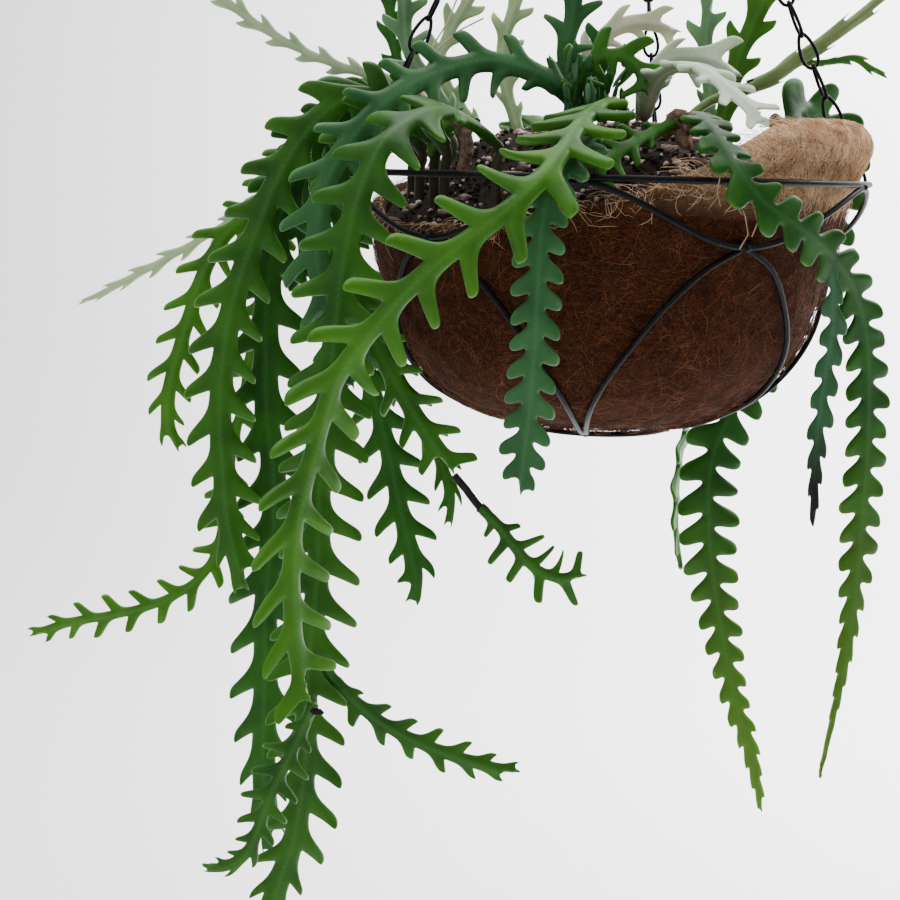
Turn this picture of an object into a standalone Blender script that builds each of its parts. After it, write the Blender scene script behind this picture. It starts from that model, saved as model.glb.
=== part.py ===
# Fishbone cactus hanging in a wire basket lined with coir, on three chains that meet at a hook.
# Lengths are in centimetres and are measured from the centre of the basket's rim, with +X to the
# right, +Y away from the viewer and +Z up. DROP moves all of it so that the hook's bearing point
# is the origin, and CM turns it into metres.
import bpy
import bmesh
import math
from mathutils import Vector
from mathutils.geometry import delaunay_2d_cdt

CM = 0.01
DROP = 40.5

# Wire basket
RIM_RADIUS = 17.7
RIM_WIRE = 0.22
BENT_WIRE = 0.19
BENDS = 5
WIRE_TURN = 10
JOINT_Z = -3.8
BASE_RING_RADIUS = 5.6
BASE_RING_Z = -17.0
BASE_SIDES = 10
WIRE_OFF_COIR = 0.2
CREST_Z = -0.21
CREST_OUT = 0.04
WAVE_STEPS = 6
RIM_SIDES = 36

# Coir liner: its outer profile as radius and height, from the rim down to the flat base
COIR_PROFILE = [
    (16.4, -1.0),
    (15.7, -5.0),
    (14.2, -10.4),
    (12.6, -13.0),
    (10.2, -15.0),
    (6.8, -16.4),
    (3.6, -16.7),
]
COIR_THICK = 1.2
COIR_SIDES = 36

# The coir's edge: its mean height and tilt, the dip at the left, the thick roll at the right with
# its flat top, and the notch where a chain is hooked to the rim
EDGE_Z = 0.7
EDGE_TILT = 0.5
DIP_DEPTH = 3.6
DIP_AZIMUTH = -128
ROLL_HEIGHT = 2.5
ROLL_AZIMUTH = 124
ROLL_FLAT = 1.6
ROLL_THICK = 0.8
NOTCH_Z = -0.75
NOTCH_HALF = 5

# Soil mound
SOIL_EDGE_Z = -0.7
SOIL_HEIGHT = 4.2
SOIL_RADIUS = 14.9
SOIL_GAP = 0.06
SOIL_SIDES = 18
HOLE_RADIUS = 0.6
HOLE_DEPTH = 3.4
ROOT_LENGTH = 2.0

# Chains and hook
CHAIN_AZIMUTHS = (20.0, 90.0, -110.0)
LINK_WIRE = 0.13
LINK_SQUARE = 0.72
LINK_PITCH = 2.2
LINK_WIDE = 1.0
HOOK_WIRE = 0.2
HOOK_RADIUS = 1.5
HOOK_LOW_RADIUS = 1.1
EYE_Z = 35.9
EYE_SHIFTS = (0.0, 0.45, -0.45)

# Stems
STALK_HALF = 0.34
STALK_THICK = 0.56
EDGE_THICK = 0.15
STALK_EDGE_THICK = 0.2
RIB_STEP = 2.7

# A gap this wide is left wherever one piece rests on another
SEAT = 0.03

for old in list(bpy.data.objects):
    bpy.data.objects.remove(old, do_unlink=True)


def metres(point):
    return Vector((point[0] * CM, point[1] * CM, (point[2] - DROP) * CM))


def material(name, colour, roughness, metallic=0.0):
    made = bpy.data.materials.new(name)
    made.use_nodes = True
    shader = made.node_tree.nodes["Principled BSDF"]
    shader.inputs["Base Color"].default_value = (*colour, 1.0)
    shader.inputs["Roughness"].default_value = roughness
    shader.inputs["Metallic"].default_value = metallic
    return made


def body(name, points, faces, surface):
    """A mesh object from points in cm and faces, with its normals turned outward."""
    mesh = bpy.data.meshes.new(name)
    mesh.from_pydata([metres(p) for p in points], [], faces)
    work = bmesh.new()
    work.from_mesh(mesh)
    bmesh.ops.recalc_face_normals(work, faces=work.faces)
    work.to_mesh(mesh)
    work.free()
    mesh.materials.append(surface)
    obj = bpy.data.objects.new(name, mesh)
    bpy.context.scene.collection.objects.link(obj)
    return obj


def fuse(main, others):
    """Joins the other bodies to the main one as one solid, and removes them."""
    group = bpy.data.collections.new(main.name + "_pieces")
    for other in others:
        group.objects.link(other)
        other.hide_render = True
    union = main.modifiers.new("union", "BOOLEAN")
    union.operation = "UNION"
    union.operand_type = "COLLECTION"
    union.collection = group
    union.solver = "EXACT"
    apply_all(main)
    for other in others:
        bpy.data.objects.remove(other, do_unlink=True)
    bpy.data.collections.remove(group)


def cut(main, cutter):
    """Takes the cutter out of the main body, and removes the cutter."""
    hole = main.modifiers.new("cut", "BOOLEAN")
    hole.operation = "DIFFERENCE"
    hole.object = cutter
    hole.solver = "EXACT"
    apply_all(main)
    bpy.data.objects.remove(cutter, do_unlink=True)


def apply_all(obj):
    graph = bpy.context.evaluated_depsgraph_get()
    finished = bpy.data.meshes.new_from_object(obj.evaluated_get(graph), depsgraph=graph)
    obj.modifiers.clear()
    obj.data = finished


def along(route, step):
    """Points on a smooth curve through the route, about one step apart, and each one's place on it."""
    dense = []
    marks = []
    ends = [2 * route[0] - route[1], *route, 2 * route[-1] - route[-2]]
    for i in range(1, len(ends) - 2):
        a, b, c, d = ends[i - 1], ends[i], ends[i + 1], ends[i + 2]
        for k in range(12):
            t = k / 12
            dense.append(0.5 * (2 * b + (c - a) * t + (2 * a - 5 * b + 4 * c - d) * t * t
                                + (3 * b - a - 3 * c + d) * t ** 3))
            marks.append(i - 1 + t)
    dense.append(route[-1])
    marks.append(len(route) - 1.0)
    total = [0.0]
    for p, q in zip(dense, dense[1:]):
        total.append(total[-1] + (q - p).length)
    count = max(2, round(total[-1] / step))
    found = []
    k = 0
    for i in range(count + 1):
        want = total[-1] * i / count
        while k < len(total) - 2 and total[k + 1] < want:
            k += 1
        share = (want - total[k]) / max(total[k + 1] - total[k], 1e-9)
        share = min(max(share, 0.0), 1.0)
        place = dense[k].lerp(dense[k + 1], share)
        found.append((place, marks[k] + (marks[k + 1] - marks[k]) * share))
    return found, total[-1]


def tube(name, centres, radius, sides, surface, closed=False, up=Vector((0, 0, 1))):
    """A bent round bar through the centres. Its rings are turned alike by the up direction."""
    centres = [Vector(c) for c in centres]
    count = len(centres)
    points = []
    for i, c in enumerate(centres):
        before = centres[i - 1] if closed or i else c
        after = centres[(i + 1) % count] if closed or i < count - 1 else c
        run = (after - before).normalized()
        side = run.cross(up)
        if side.length < 0.05:
            side = run.cross(Vector((1, 0, 0)))
        side.normalize()
        top = side.cross(run)
        for k in range(sides):
            turn = 2 * math.pi * (k + 0.5) / sides
            points.append(c + radius * (math.cos(turn) * side + math.sin(turn) * top))
    faces = []
    for i in range(count if closed else count - 1):
        a = i * sides
        b = (i + 1) % count * sides
        for k in range(sides):
            n = (k + 1) % sides
            faces.append((a + k, a + n, b + n, b + k))
    if not closed:
        faces.append(tuple(range(sides)))
        faces.append(tuple((count - 1) * sides + k for k in range(sides)))
    return body(name, points, faces, surface)


def compass(azimuth, radius, z):
    """A point at an azimuth from the back, clockwise seen from above."""
    turn = math.radians(azimuth)
    return Vector((radius * math.sin(turn), radius * math.cos(turn), z))


black_wire = material("black_wire", (0.012, 0.013, 0.016), 0.35, 0.0)
chain_steel = material("chain_steel", (0.03, 0.032, 0.038), 0.4, 0.8)
coir = material("coir", (0.16, 0.065, 0.028), 0.95)
peat = material("peat", (0.022, 0.013, 0.009), 0.95)


# Wire basket: a rim ring, a wavy wire that touches the rim five times, ten arcs from the wave's low
# points down to the base ring, all welded.
def coir_radius(z):
    if z >= COIR_PROFILE[0][1]:
        return COIR_PROFILE[0][0]
    for (r0, z0), (r1, z1) in zip(COIR_PROFILE, COIR_PROFILE[1:]):
        if z >= z1:
            return r0 + (r1 - r0) * (z - z0) / (z1 - z0)
    return COIR_PROFILE[-1][0]


def wire_place(z):
    """Radius and height of a wire's centre that lies on the coir at the height z."""
    steep = (coir_radius(z + 0.4) - coir_radius(z - 0.4)) / 0.8
    size = math.hypot(1.0, steep)
    off = BENT_WIRE + WIRE_OFF_COIR
    return coir_radius(z) + off / size, z - off * steep / size


ring = [compass(360 * i / RIM_SIDES, RIM_RADIUS, 0.0) for i in range(RIM_SIDES)]
frame = tube("wire_basket", ring, RIM_WIRE, 4, black_wire, closed=True)
pieces = []
wave = []
low_radius, low_height = wire_place(JOINT_Z)
for i in range(BENDS * WAVE_STEPS):
    azimuth = 360 * i / (BENDS * WAVE_STEPS)
    share = 0.5 + 0.5 * math.cos(math.radians(azimuth * BENDS))
    z = CREST_Z + (low_height - CREST_Z) * share ** 0.8
    radius = RIM_RADIUS + CREST_OUT + (low_radius + 0.1 - RIM_RADIUS) * share
    wave.append(compass(WIRE_TURN + azimuth, radius, z))
pieces.append(tube("wave", wave, BENT_WIRE, 4, black_wire, closed=True))
base = []
for i in range(BASE_SIDES):
    base.append(compass(WIRE_TURN + 360 * (i + 0.5) / BASE_SIDES, BASE_RING_RADIUS, BASE_RING_Z))
pieces.append(tube("base", base, BENT_WIRE, 4, black_wire, closed=True))
ARC = [
    (37.6, -3.5),
    (34.6, -4.0),
    (27.0, -5.2),
    (19.0, -7.5),
    (12.0, -10.1),
    (6.6, -12.4),
    (3.2, -14.3),
    (1.4, -16.0),
]
for foot in range(BENDS):
    middle = 180 + WIRE_TURN + foot * 360 / BENDS
    for hand in (-1, 1):
        centres = []
        for swing, height in ARC:
            radius, z = wire_place(height)
            centres.append(compass(middle + hand * swing, radius, z))
        centres.append(compass(middle + hand, BASE_RING_RADIUS - 0.3, BASE_RING_Z + SEAT))
        pieces.append(tube("arc", centres, BENT_WIRE, 4, black_wire))
fuse(frame, pieces)


# Coir liner: a thick felted bowl. Its edge dips below the rim on the left, stands above it on the
# right, and is rolled thick at the far right.
def edge_height(azimuth):
    """Height of the coir's edge at an azimuth, and how thick it is rolled there."""
    turn = math.radians(azimuth)
    right = math.sin(turn)
    roll = min(1.0, ROLL_FLAT * max(0.0, math.cos(math.radians(azimuth - ROLL_AZIMUTH))) ** 6)
    dip = max(0.0, math.cos(math.radians(azimuth - DIP_AZIMUTH))) ** 1.6
    height = EDGE_Z + EDGE_TILT * right - DIP_DEPTH * dip + ROLL_HEIGHT * roll
    for chain in CHAIN_AZIMUTHS:
        if abs(azimuth - chain) < NOTCH_HALF:
            height = min(height, NOTCH_Z)
            roll = 0.0
    return height, roll


def bowl_floor(radius):
    """Height of the inside of the coir's bottom, which rises a little outwards."""
    return COIR_PROFILE[-1][1] + COIR_THICK + 0.06 * max(0.0, radius - 5.0)


def liner_rings():
    rings = []
    for i in range(COIR_SIDES):
        azimuth = 360 * i / COIR_SIDES
        top, roll = edge_height((azimuth + 180) % 360 - 180)
        outline = []
        for r, z in COIR_PROFILE:
            limit = min(z, top - 0.5 - 0.15 * COIR_PROFILE.index((r, z)))
            outline.append((coir_radius(limit) if limit < z else r, limit))
        outline.reverse()
        lip = coir_radius(top)
        bulge = ROLL_THICK * roll
        outline.append((lip - 0.05 + 0.2 * bulge, min(top - 0.3, 0.55) if roll > 0.05 else top - 0.3))
        outline.append((lip - 0.2 + bulge, top - 0.15 - 1.0 * roll))
        outline.append((lip - 0.6 + 0.3 * bulge, top))
        outline.append((lip - 1.05 - 0.3 * bulge, top - 0.1 - 0.1 * roll))
        outline.append((lip - COIR_THICK - 0.2 * bulge, top - 0.45 - 0.5 * roll))
        inner = []
        for r, z in COIR_PROFILE[::2]:
            limit = min(z, top - 0.75 - 0.15 * COIR_PROFILE.index((r, z)))
            inner.append((coir_radius(limit) - COIR_THICK, limit))
        outline += [(r, max(z, bowl_floor(r))) for r, z in inner]
        rings.append([compass(azimuth, r, z) for r, z in outline])
    return rings


rings = liner_rings()
steps = len(rings[0])
points = [p for ring in rings for p in ring]
faces = []
for i in range(COIR_SIDES):
    a = i * steps
    b = (i + 1) % COIR_SIDES * steps
    for k in range(steps - 1):
        faces.append((a + k, a + k + 1, b + k + 1, b + k))
points.append(Vector((0, 0, COIR_PROFILE[-1][1])))
points.append(Vector((0, 0, COIR_PROFILE[-1][1] + COIR_THICK)))
for i in range(COIR_SIDES):
    j = (i + 1) % COIR_SIDES
    faces.append((i * steps, j * steps, len(points) - 2))
    faces.append((i * steps + steps - 1, j * steps + steps - 1, len(points) - 1))
liner = body("coir_liner", points, faces, coir)


# Soil: fills the liner and is mounded in the middle.
def soil_top(x, y):
    share = math.hypot(x, y) / SOIL_RADIUS
    return SOIL_EDGE_Z + SOIL_HEIGHT * (1 - share * share) + 0.25 * math.sin(x * 0.7) * math.cos(y * 0.6)


levels = []
for share in (0.35, 0.7, 0.985):
    levels.append([(SOIL_RADIUS * share, None)] * SOIL_SIDES)
for r, z in COIR_PROFILE[2:-1:2]:
    inside = r - COIR_THICK - SOIL_GAP - 0.14
    levels.append([(inside, max(z, bowl_floor(r) + SOIL_GAP))] * SOIL_SIDES)
points = [Vector((0, 0, soil_top(0, 0)))]
for level in levels:
    for i in range(SOIL_SIDES):
        r, z = level[i]
        p = compass(360 * i / SOIL_SIDES, r, 0)
        p.z = soil_top(p.x, p.y) if z is None else z
        points.append(p)
points.append(Vector((0, 0, bowl_floor(0) + SOIL_GAP)))
faces = []
for i in range(SOIL_SIDES):
    j = (i + 1) % SOIL_SIDES
    faces.append((0, 1 + i, 1 + j))
    for k in range(len(levels) - 1):
        a = 1 + k * SOIL_SIDES
        b = a + SOIL_SIDES
        faces.append((a + i, b + i, b + j, a + j))
    last = 1 + (len(levels) - 1) * SOIL_SIDES
    faces.append((last + i, len(points) - 1, last + j))
soil = body("soil", points, faces, peat)


# Hook: one bent rod. Its upper bend hangs on a bracket and its lower bend carries the chains.
hook_steel = material("hook_steel", (0.03, 0.032, 0.038), 0.4, 0.8)
top_z = DROP + HOOK_WIRE - HOOK_RADIUS
low_z = EYE_Z + HOOK_LOW_RADIUS
rod = []
for turn in range(-20, 181, 20):
    reach = HOOK_RADIUS * math.cos(math.radians(turn))
    rod.append((reach, 0, top_z + HOOK_RADIUS * math.sin(math.radians(turn))))
rod.append((-1.2, 0, top_z - 0.9))
rod.append((0.6, 0, low_z + 0.75))
for turn in range(20, -206, -28):
    reach = HOOK_LOW_RADIUS * math.cos(math.radians(turn))
    rod.append((reach, 0, low_z + HOOK_LOW_RADIUS * math.sin(math.radians(turn))))
hook = tube("hook", rod, HOOK_WIRE, 5, hook_steel, up=Vector((0, 1, 0)))


# Chains: teardrop links bent from wire, each one hooked into the next. The crossing of two links is
# one small block that the legs of both run into.
def chain_body(name, top, run, flats, pitch):
    points = []
    faces = []
    blocks = []
    size = LINK_WIRE * LINK_SQUARE
    for i in range(len(flats) + 1):
        above = flats[max(i - 1, 0)]
        below = flats[min(i, len(flats) - 1)]
        if i in (0, len(flats)):
            below = run.cross(above)
        elif below.dot(run.cross(above)) < 0:
            below = -below
            flats[i] = below
        centre = top + run * (pitch * i)
        corners = {}
        for a in (-1, 1):
            for b in (-1, 1):
                for c in (-1, 1):
                    corners[a, b, c] = len(points)
                    points.append(centre + above * (size * a) + below * (size * b) + run * (size * c))
        faces.append([corners[a, b, -1] for a, b in ((-1, -1), (1, -1), (1, 1), (-1, 1))])
        faces.append([corners[a, b, 1] for a, b in ((-1, -1), (1, -1), (1, 1), (-1, 1))])
        if i in (0, len(flats)):
            for b in (-1, 1):
                faces.append([corners[a, b, c] for a, c in ((-1, -1), (1, -1), (1, 1), (-1, 1))])
        blocks.append(corners)
    for i, flat in enumerate(flats):
        whole = i in (0, len(flats) - 1)
        deep = run.cross(flat)
        for hand in (-1, 1):
            # Each ring of a leg is its outer and inner corner in front, then inner and outer behind.
            upper = blocks[i]
            lower = blocks[i + 1]
            if i == 0:
                start = [upper[hand, 1, -1], upper[hand, 1, 1], upper[hand, -1, 1], upper[hand, -1, -1]]
            else:
                side = 1 if deep.dot(points[upper[1, 1, 1]] - points[upper[-1, 1, 1]]) > 0 else -1
                start = [upper[side, hand, -1], upper[side, hand, 1]]
                start += [upper[-side, hand, 1], upper[-side, hand, -1]]
            side = 1 if deep.dot(points[lower[1, 1, 1]] - points[lower[1, -1, 1]]) > 0 else -1
            end = [lower[hand, side, 1], lower[hand, side, -1]]
            end += [lower[hand, -side, -1], lower[hand, -side, 1]]
            rings = [start]
            for share in (0.17, 0.83) if whole else (0.64,):
                middle = top + run * (pitch * (i + share)) + flat * (hand * LINK_WIDE / 2)
                ring = []
                for x, y in ((1, 1), (-1, 1), (-1, -1), (1, -1)):
                    ring.append(len(points))
                    points.append(middle + flat * (hand * size * x) + deep * (size * y))
                rings.append(ring)
            rings.append(end)
            for one, two in zip(rings, rings[1:]):
                for k in range(4):
                    n = (k + 1) % 4
                    faces.append((one[k], one[n], two[n], two[k]))
    return body(name, points, faces, chain_steel)


for number, azimuth in enumerate(CHAIN_AZIMUTHS):
    shift = EYE_SHIFTS[number]
    top = Vector((shift, 0.0, EYE_Z + 0.2 * abs(shift)))
    foot = compass(azimuth, RIM_RADIUS, 0.0)
    run = (foot - top).normalized()
    top -= run * (HOOK_WIRE + LINK_WIRE + SEAT)
    foot += run * (RIM_WIRE + LINK_WIRE + SEAT)
    reach = (foot - top).length
    count = round(reach / LINK_PITCH)
    across = Vector((0, 1, 0)) - run * run.y
    across.normalize()
    last = compass(azimuth, 1.0, 0.0)
    last = (last - run * run.dot(last)).normalized()
    flats = []
    for i in range(count):
        first = across if i % 2 == 0 else run.cross(across).normalized()
        final = last if (count - 1 - i) % 2 == 0 else run.cross(last).normalized()
        if first.dot(final) < 0:
            final = -final
        flat = first.lerp(final, i / (count - 1))
        flats.append((flat - run * run.dot(flat)).normalized())
    chain_body("chain_" + ("back", "right", "left")[number], top, run, flats, reach / count)


# Stems: flat leaf-like stems. Each follows a route. Lobes alternate on its two sides, slant
# towards its tip, and are cut nearly to the thick midrib. A lobe's outline is given as shares of
# the pitch along the stem and of the reach from notch to tip.
LOBE = [(0.0, 0.0), (0.52, 0.14), (0.82, 0.95), (1.03, 0.95)]
SMALL_LOBE = [(0.06, 0.0), (0.7, 1.0), (0.97, 0.93)]


def stalk_marks(bare):
    """Places along the bare stalk, one of them just above the soil."""
    marks = [0.0]
    if bare > 3.8:
        marks.append(3.3)
    while marks[-1] + 3.4 < bare:
        marks.append(marks[-1] + 2.0)
    return marks


def outline_of(length, bare, pitch, half, notch, taper, fade, shape, first):
    """One side of a stem, from base to tip, as distances along and out from its centre line."""
    side = [(s, STALK_HALF) for s in stalk_marks(bare)]
    s = bare + first * pitch
    number = 0
    while s + pitch < length - 0.3:
        grow = min(1.0, (number + 1.2) / (taper + 1.0))
        left = (length - s - pitch * 0.5) / pitch
        shrink = min(1.0, (left + 0.8) / (fade + 0.8))
        reach = half * grow * shrink
        step = pitch * (0.7 + 0.3 * min(grow, shrink))
        wide = max(min(notch, reach * 0.8), 0.16)
        for u, v in shape:
            side.append((s + step * u, wide + (reach - wide) * v))
        s += step
        number += 1
    side.append((s + 0.02, max(0.14, min(notch, STALK_HALF))))
    return side


def lobed(name, route, face, surface, half=2.0, notch=0.7, pitch=3.0, core=0.6, bare=3.0, taper=1.0,
          fade=3.0, shape=LOBE, wave=0.12):
    """A lobed stem. Face gives the direction that its flat side looks to, from a route point on."""
    route = [Vector(p) for p in route]
    found, length = along(route, 0.3)
    step = length / (len(found) - 1)
    face = [(float(place), Vector(way).normalized()) for place, way in face]

    def facing(mark):
        before = face[0]
        for key in face:
            if key[0] > mark:
                share = (mark - before[0]) / (key[0] - before[0])
                return before[1].lerp(key[1], share)
            before = key
        return before[1]

    frames = []
    for i, (place, mark) in enumerate(found):
        run = (found[min(i + 1, len(found) - 1)][0] - found[max(i - 1, 0)][0]).normalized()
        out = facing(mark)
        out = out - run * run.dot(out)
        out.normalize()
        frames.append((place, run.cross(out), out))

    def place_at(s, t, lift):
        where = min(max(s / step, 0.0), len(frames) - 1.000001)
        i = int(where)
        share = where - i
        centre = frames[i][0].lerp(frames[i + 1][0], share)
        wide = frames[i][1].lerp(frames[i + 1][1], share).normalized()
        out = frames[i][2].lerp(frames[i + 1][2], share).normalized()
        past = s - (len(frames) - 1) * step
        if past > 0:
            centre = centre + (frames[-1][0] - frames[-2][0]).normalized() * past
        ripple = wave * math.sin(s * 2.1 + (1.3 if t > 0 else 0.0)) * min(1.0, abs(t) / half) * abs(t)
        return centre + wide * t + out * (lift + ripple)

    right = outline_of(length, bare, pitch, half, notch, taper, fade, shape, 0.0)
    left = outline_of(length, bare, pitch, half, notch, taper, fade, shape, 0.5)
    tip = max(right[-1][0], left[-1][0]) + 0.35
    rib = stalk_marks(bare)
    s = max(bare - 0.6, 1.0)
    while s < min(right[-1][0], left[-1][0]) - 0.2 * pitch:
        rib.append(s)
        s += RIB_STEP
    flat = [(s, t) for s, t in right] + [(tip, 0.0)] + [(s, -t) for s, t in reversed(left)]
    border = len(flat)
    flat = flat + [(s, 0.0) for s in rib[1:]]
    edges = [(border + k, border + k + 1) for k in range(len(rib) - 2)]
    made = delaunay_2d_cdt([Vector(p) for p in flat], edges, [list(range(border))], 1, 1e-5)
    coords, triangles = made[0], made[2]
    points = []
    for up in (1, -1):
        for s, t in coords:
            inner = abs(t) < 0.02 and 0.1 < s < tip - 0.1
            if inner:
                shrink = min(1.0, max(0.3, (tip - s) / (3 * pitch)))
                thick = core * shrink if s > bare else STALK_THICK
            else:
                thick = EDGE_THICK
            if s < bare * 0.6 and not inner:
                thick = STALK_EDGE_THICK
            points.append(place_at(s, t, up * thick / 2))
    count = len(coords)
    faces = []
    used = {}
    for tri in triangles:
        faces.append(tuple(tri))
        faces.append(tuple(count + k for k in reversed(tri)))
        for k in range(3):
            edge = (tri[k], tri[(k + 1) % 3])
            used[edge] = True
    for a, b in used:
        if (b, a) not in used:
            faces.append((b, a, count + a, count + b))
    return body(name, points, faces, surface)


def rooted(x, y, *route):
    """The route of a stem that stands upright in the soil at x, y before it goes on."""
    z = soil_top(x, y)
    return [(x, y, z - HOLE_DEPTH + SEAT), (x, y, z - 1.4), (x, y, z + 0.2), (x, y, z + 1.3), *route]


BACK = (0, 1, 0)
FRONT = (0, -1, 0)
UP = (0, 0, 1)
holes = []


def stem(name, base, route, face, colour, **shape):
    surface = material(name, colour, 0.45)
    if base:
        holes.append(base)
        route = rooted(*base, *route)
        face = [(place + 1 if place else 0, way) for place, way in face]
        shape["bare"] += ROOT_LENGTH
    return lobed(name, route, face, surface, **shape)


DEEP = (0.045, 0.16, 0.03)
MID = (0.08, 0.26, 0.04)
FRESH = (0.15, 0.42, 0.07)
BLUE = (0.09, 0.24, 0.11)
GREY = (0.2, 0.36, 0.22)
PALE = (0.38, 0.5, 0.28)
DRY = (0.5, 0.4, 0.22)

# Front stems
stem("stem_front_long", (0.8, -4.0), [
    (-0.6, -8.5, 4.6), (-2.6, -14, 3.4), (-4.3, -19.0, 1.3), (-6.0, -21.3, -0.7), (-8.1, -22, -2.5),
    (-10.5, -22.5, -4.3), (-12.6, -22.5, -6.2), (-14.8, -22.2, -8.8), (-16.5, -21.8, -11.3),
    (-17.4, -21.5, -14.1), (-18.1, -21.5, -16.7), (-18.8, -21.5, -19.7), (-19.0, -21.5, -22.6),
    (-18.9, -21.5, -25.6), (-18.5, -21.5, -28.4), (-17.6, -21.5, -31.2)],
    [(0, BACK), (2, BACK), (4, UP), (6, (0, -1, 0.5)), (8, FRONT), (10, (0.3, -1, 0)), (12, (0.7, -1, 0))],
    FRESH, half=2.95, notch=0.55, pitch=3.05, core=0.8, bare=6.0, fade=0.6)
stem("stem_front_centre", (-1.6, -9.5), [
    (-2.2, -13.5, 2.2), (-3.4, -17.4, 0.95), (-4.8, -19.3, -0.7), (-5.3, -19.6, -2.7),
    (-5.4, -19.5, -5.8), (-5.4, -19.2, -8.7), (-5.5, -18.8, -11.7), (-5.6, -18.4, -14.0),
    (-5.8, -18.2, -16.4), (-5.9, -18, -18.9)],
    [(0, BACK), (2, BACK), (4, UP), (6, FRONT)], BLUE, half=1.5, notch=0.48, pitch=1.6, core=0.55,
    bare=6.0, fade=2, shape=SMALL_LOBE)

# Stems of the left side, from the front layer to the back one
far_down = stem("stem_left_far_down", (-7.7, -10.3), [
    (-11.0, -13.4, 3.6), (-14.0, -15.6, 2.0), (-15.6, -16.4, -1.0), (-16.5, -16.6, -4.8),
    (-17.0, -16.6, -8.7), (-17.3, -16.6, -12.2), (-17.6, -16.6, -15.9), (-17.9, -16.6, -19.3),
    (-17.9, -16.6, -22.9), (-18.1, -16.6, -25.9), (-18.4, -16.6, -29.2), (-18.6, -16.6, -32.4),
    (-18.6, -16.6, -36.0), (-18.9, -16.6, -38.9), (-19.4, -16.6, -41.8), (-20.3, -16.6, -44.6),
    (-21.1, -16.6, -47.2), (-21.8, -16.6, -49.6)],
    [(0, (1, 1, 0)), (2, (0.7, 0.4, 0.2)), (4, (0, -0.6, 1)), (6, FRONT)], MID, half=2.8, notch=0.55,
    pitch=2.6, core=0.7, bare=4.0, fade=4, shape=SMALL_LOBE)
side_shoot = stem("side_shoot", None, [
    (-18.3, -16.6, -28.2), (-17.6, -16.2, -30.0), (-16.2, -15.8, -32.0), (-14.2, -15.6, -33.8),
    (-12.4, -15.5, -34.9), (-10.4, -15.4, -35.8), (-8.4, -15.3, -36.5), (-6.3, -15.2, -37.1),
    (-4.1, -15.1, -37.3)],
    [(0, FRONT)], MID, half=1.35, notch=0.42, pitch=2.0, core=0.5, bare=2.4, fade=3, shape=SMALL_LOBE)
fuse(far_down, [side_shoot])
stem("stem_left_wide_fork", (-2.6, -4.6), [
    (-4.6, -6.0, 6.2), (-7.9, -7.2, 7.0), (-10.8, -8.4, 6.4), (-13.8, -10.6, 4.8), (-16.3, -12.2, 2.2),
    (-17.9, -13.0, -0.6), (-18.4, -13.4, -3.2), (-18.3, -13.6, -6.0), (-17.4, -13.7, -8.4),
    (-16.5, -13.7, -11), (-15.9, -13.7, -14.0)],
    [(0, FRONT), (4, (0, -1, 0.4)), (7, FRONT)], BLUE, half=2.3, notch=0.5, pitch=2.6, core=0.7,
    bare=3.5, fade=2)
stem("stem_left_inner", (-10.9, -7.6), [
    (-13.2, -8.8, 4.2), (-15.6, -10.0, 3.4), (-17.2, -10.8, 0.0), (-17.0, -11.2, -4.6),
    (-15.7, -11.2, -9.0), (-14.0, -11.2, -12.4), (-12.4, -11.2, -15.0), (-11.4, -11.2, -16.5),
    (-10.3, -11.2, -18.1), (-9.3, -11.2, -19.6), (-8.2, -11.2, -20.7), (-6.8, -11.2, -22.2),
    (-5.7, -11.2, -23.6), (-4.4, -11.2, -24.9), (-2.9, -11.2, -25.5), (-0.9, -11.2, -25.3)],
    [(0, FRONT)], MID, half=1.95, notch=0.42, pitch=2.3, core=0.6, bare=3.0, fade=2, shape=SMALL_LOBE)
stem("stem_left_upper", (-11.6, -5.4), [
    (-14.2, -6.4, 4.0), (-16.6, -7.2, 4.6), (-18.3, -7.8, 3.8), (-20.2, -8.4, 1.6), (-21.6, -8.8, -1.0),
    (-22.6, -9.0, -3.6), (-23.6, -9.0, -6.4), (-24.4, -9, -9.2), (-24.9, -9, -12.4), (-25.1, -9, -16.0),
    (-24.9, -9, -19.4), (-24.6, -9, -22.8), (-23.8, -9, -26.0), (-22.8, -9, -28.6)],
    [(0, FRONT)], MID, half=2.35, notch=0.5, pitch=2.8, core=0.7, bare=3.0, fade=3)
stem("stem_left_long", (-12.6, -3.2), [
    (-15.0, -4.0, 4.2), (-17.4, -4.7, 4.0), (-19.6, -5.4, 1.8), (-21.0, -6.0, -1.2), (-21.9, -6.2, -4.6),
    (-22.4, -6.2, -8.0), (-22.5, -6.2, -12), (-22.4, -6.2, -16.4), (-22.0, -6.2, -19.6),
    (-21.9, -6.2, -23), (-22.2, -6.2, -26.2), (-22.5, -6.2, -30), (-22.5, -6.2, -34), (-22.6, -6.2, -38),
    (-22.6, -6.2, -42), (-22.3, -6.2, -45.4), (-21.7, -6.2, -48.8)],
    [(0, FRONT)], DEEP, half=2.6, notch=0.6, pitch=3.4, core=0.7, bare=3.0, fade=4, shape=SMALL_LOBE)
stem("stem_left_hidden", (-13.2, -0.6), [
    (-15.8, -0.8, 4.2), (-18.4, -1.2, 3.4), (-20.6, -2.2, 0.0), (-20.2, -3.4, -4.6), (-18.4, -4, -9.0),
    (-16.4, -4, -12.4), (-15.2, -4, -15.6), (-14.4, -4, -18.6), (-13.8, -4, -21.2), (-13.2, -4, -23.9),
    (-12.6, -4, -26.2), (-12.4, -4, -28.2), (-13.4, -4, -30.5)],
    [(0, FRONT)], DEEP, half=2.2, notch=0.42, pitch=2.6, core=0.6, bare=3.0, fade=3, shape=SMALL_LOBE)
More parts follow.
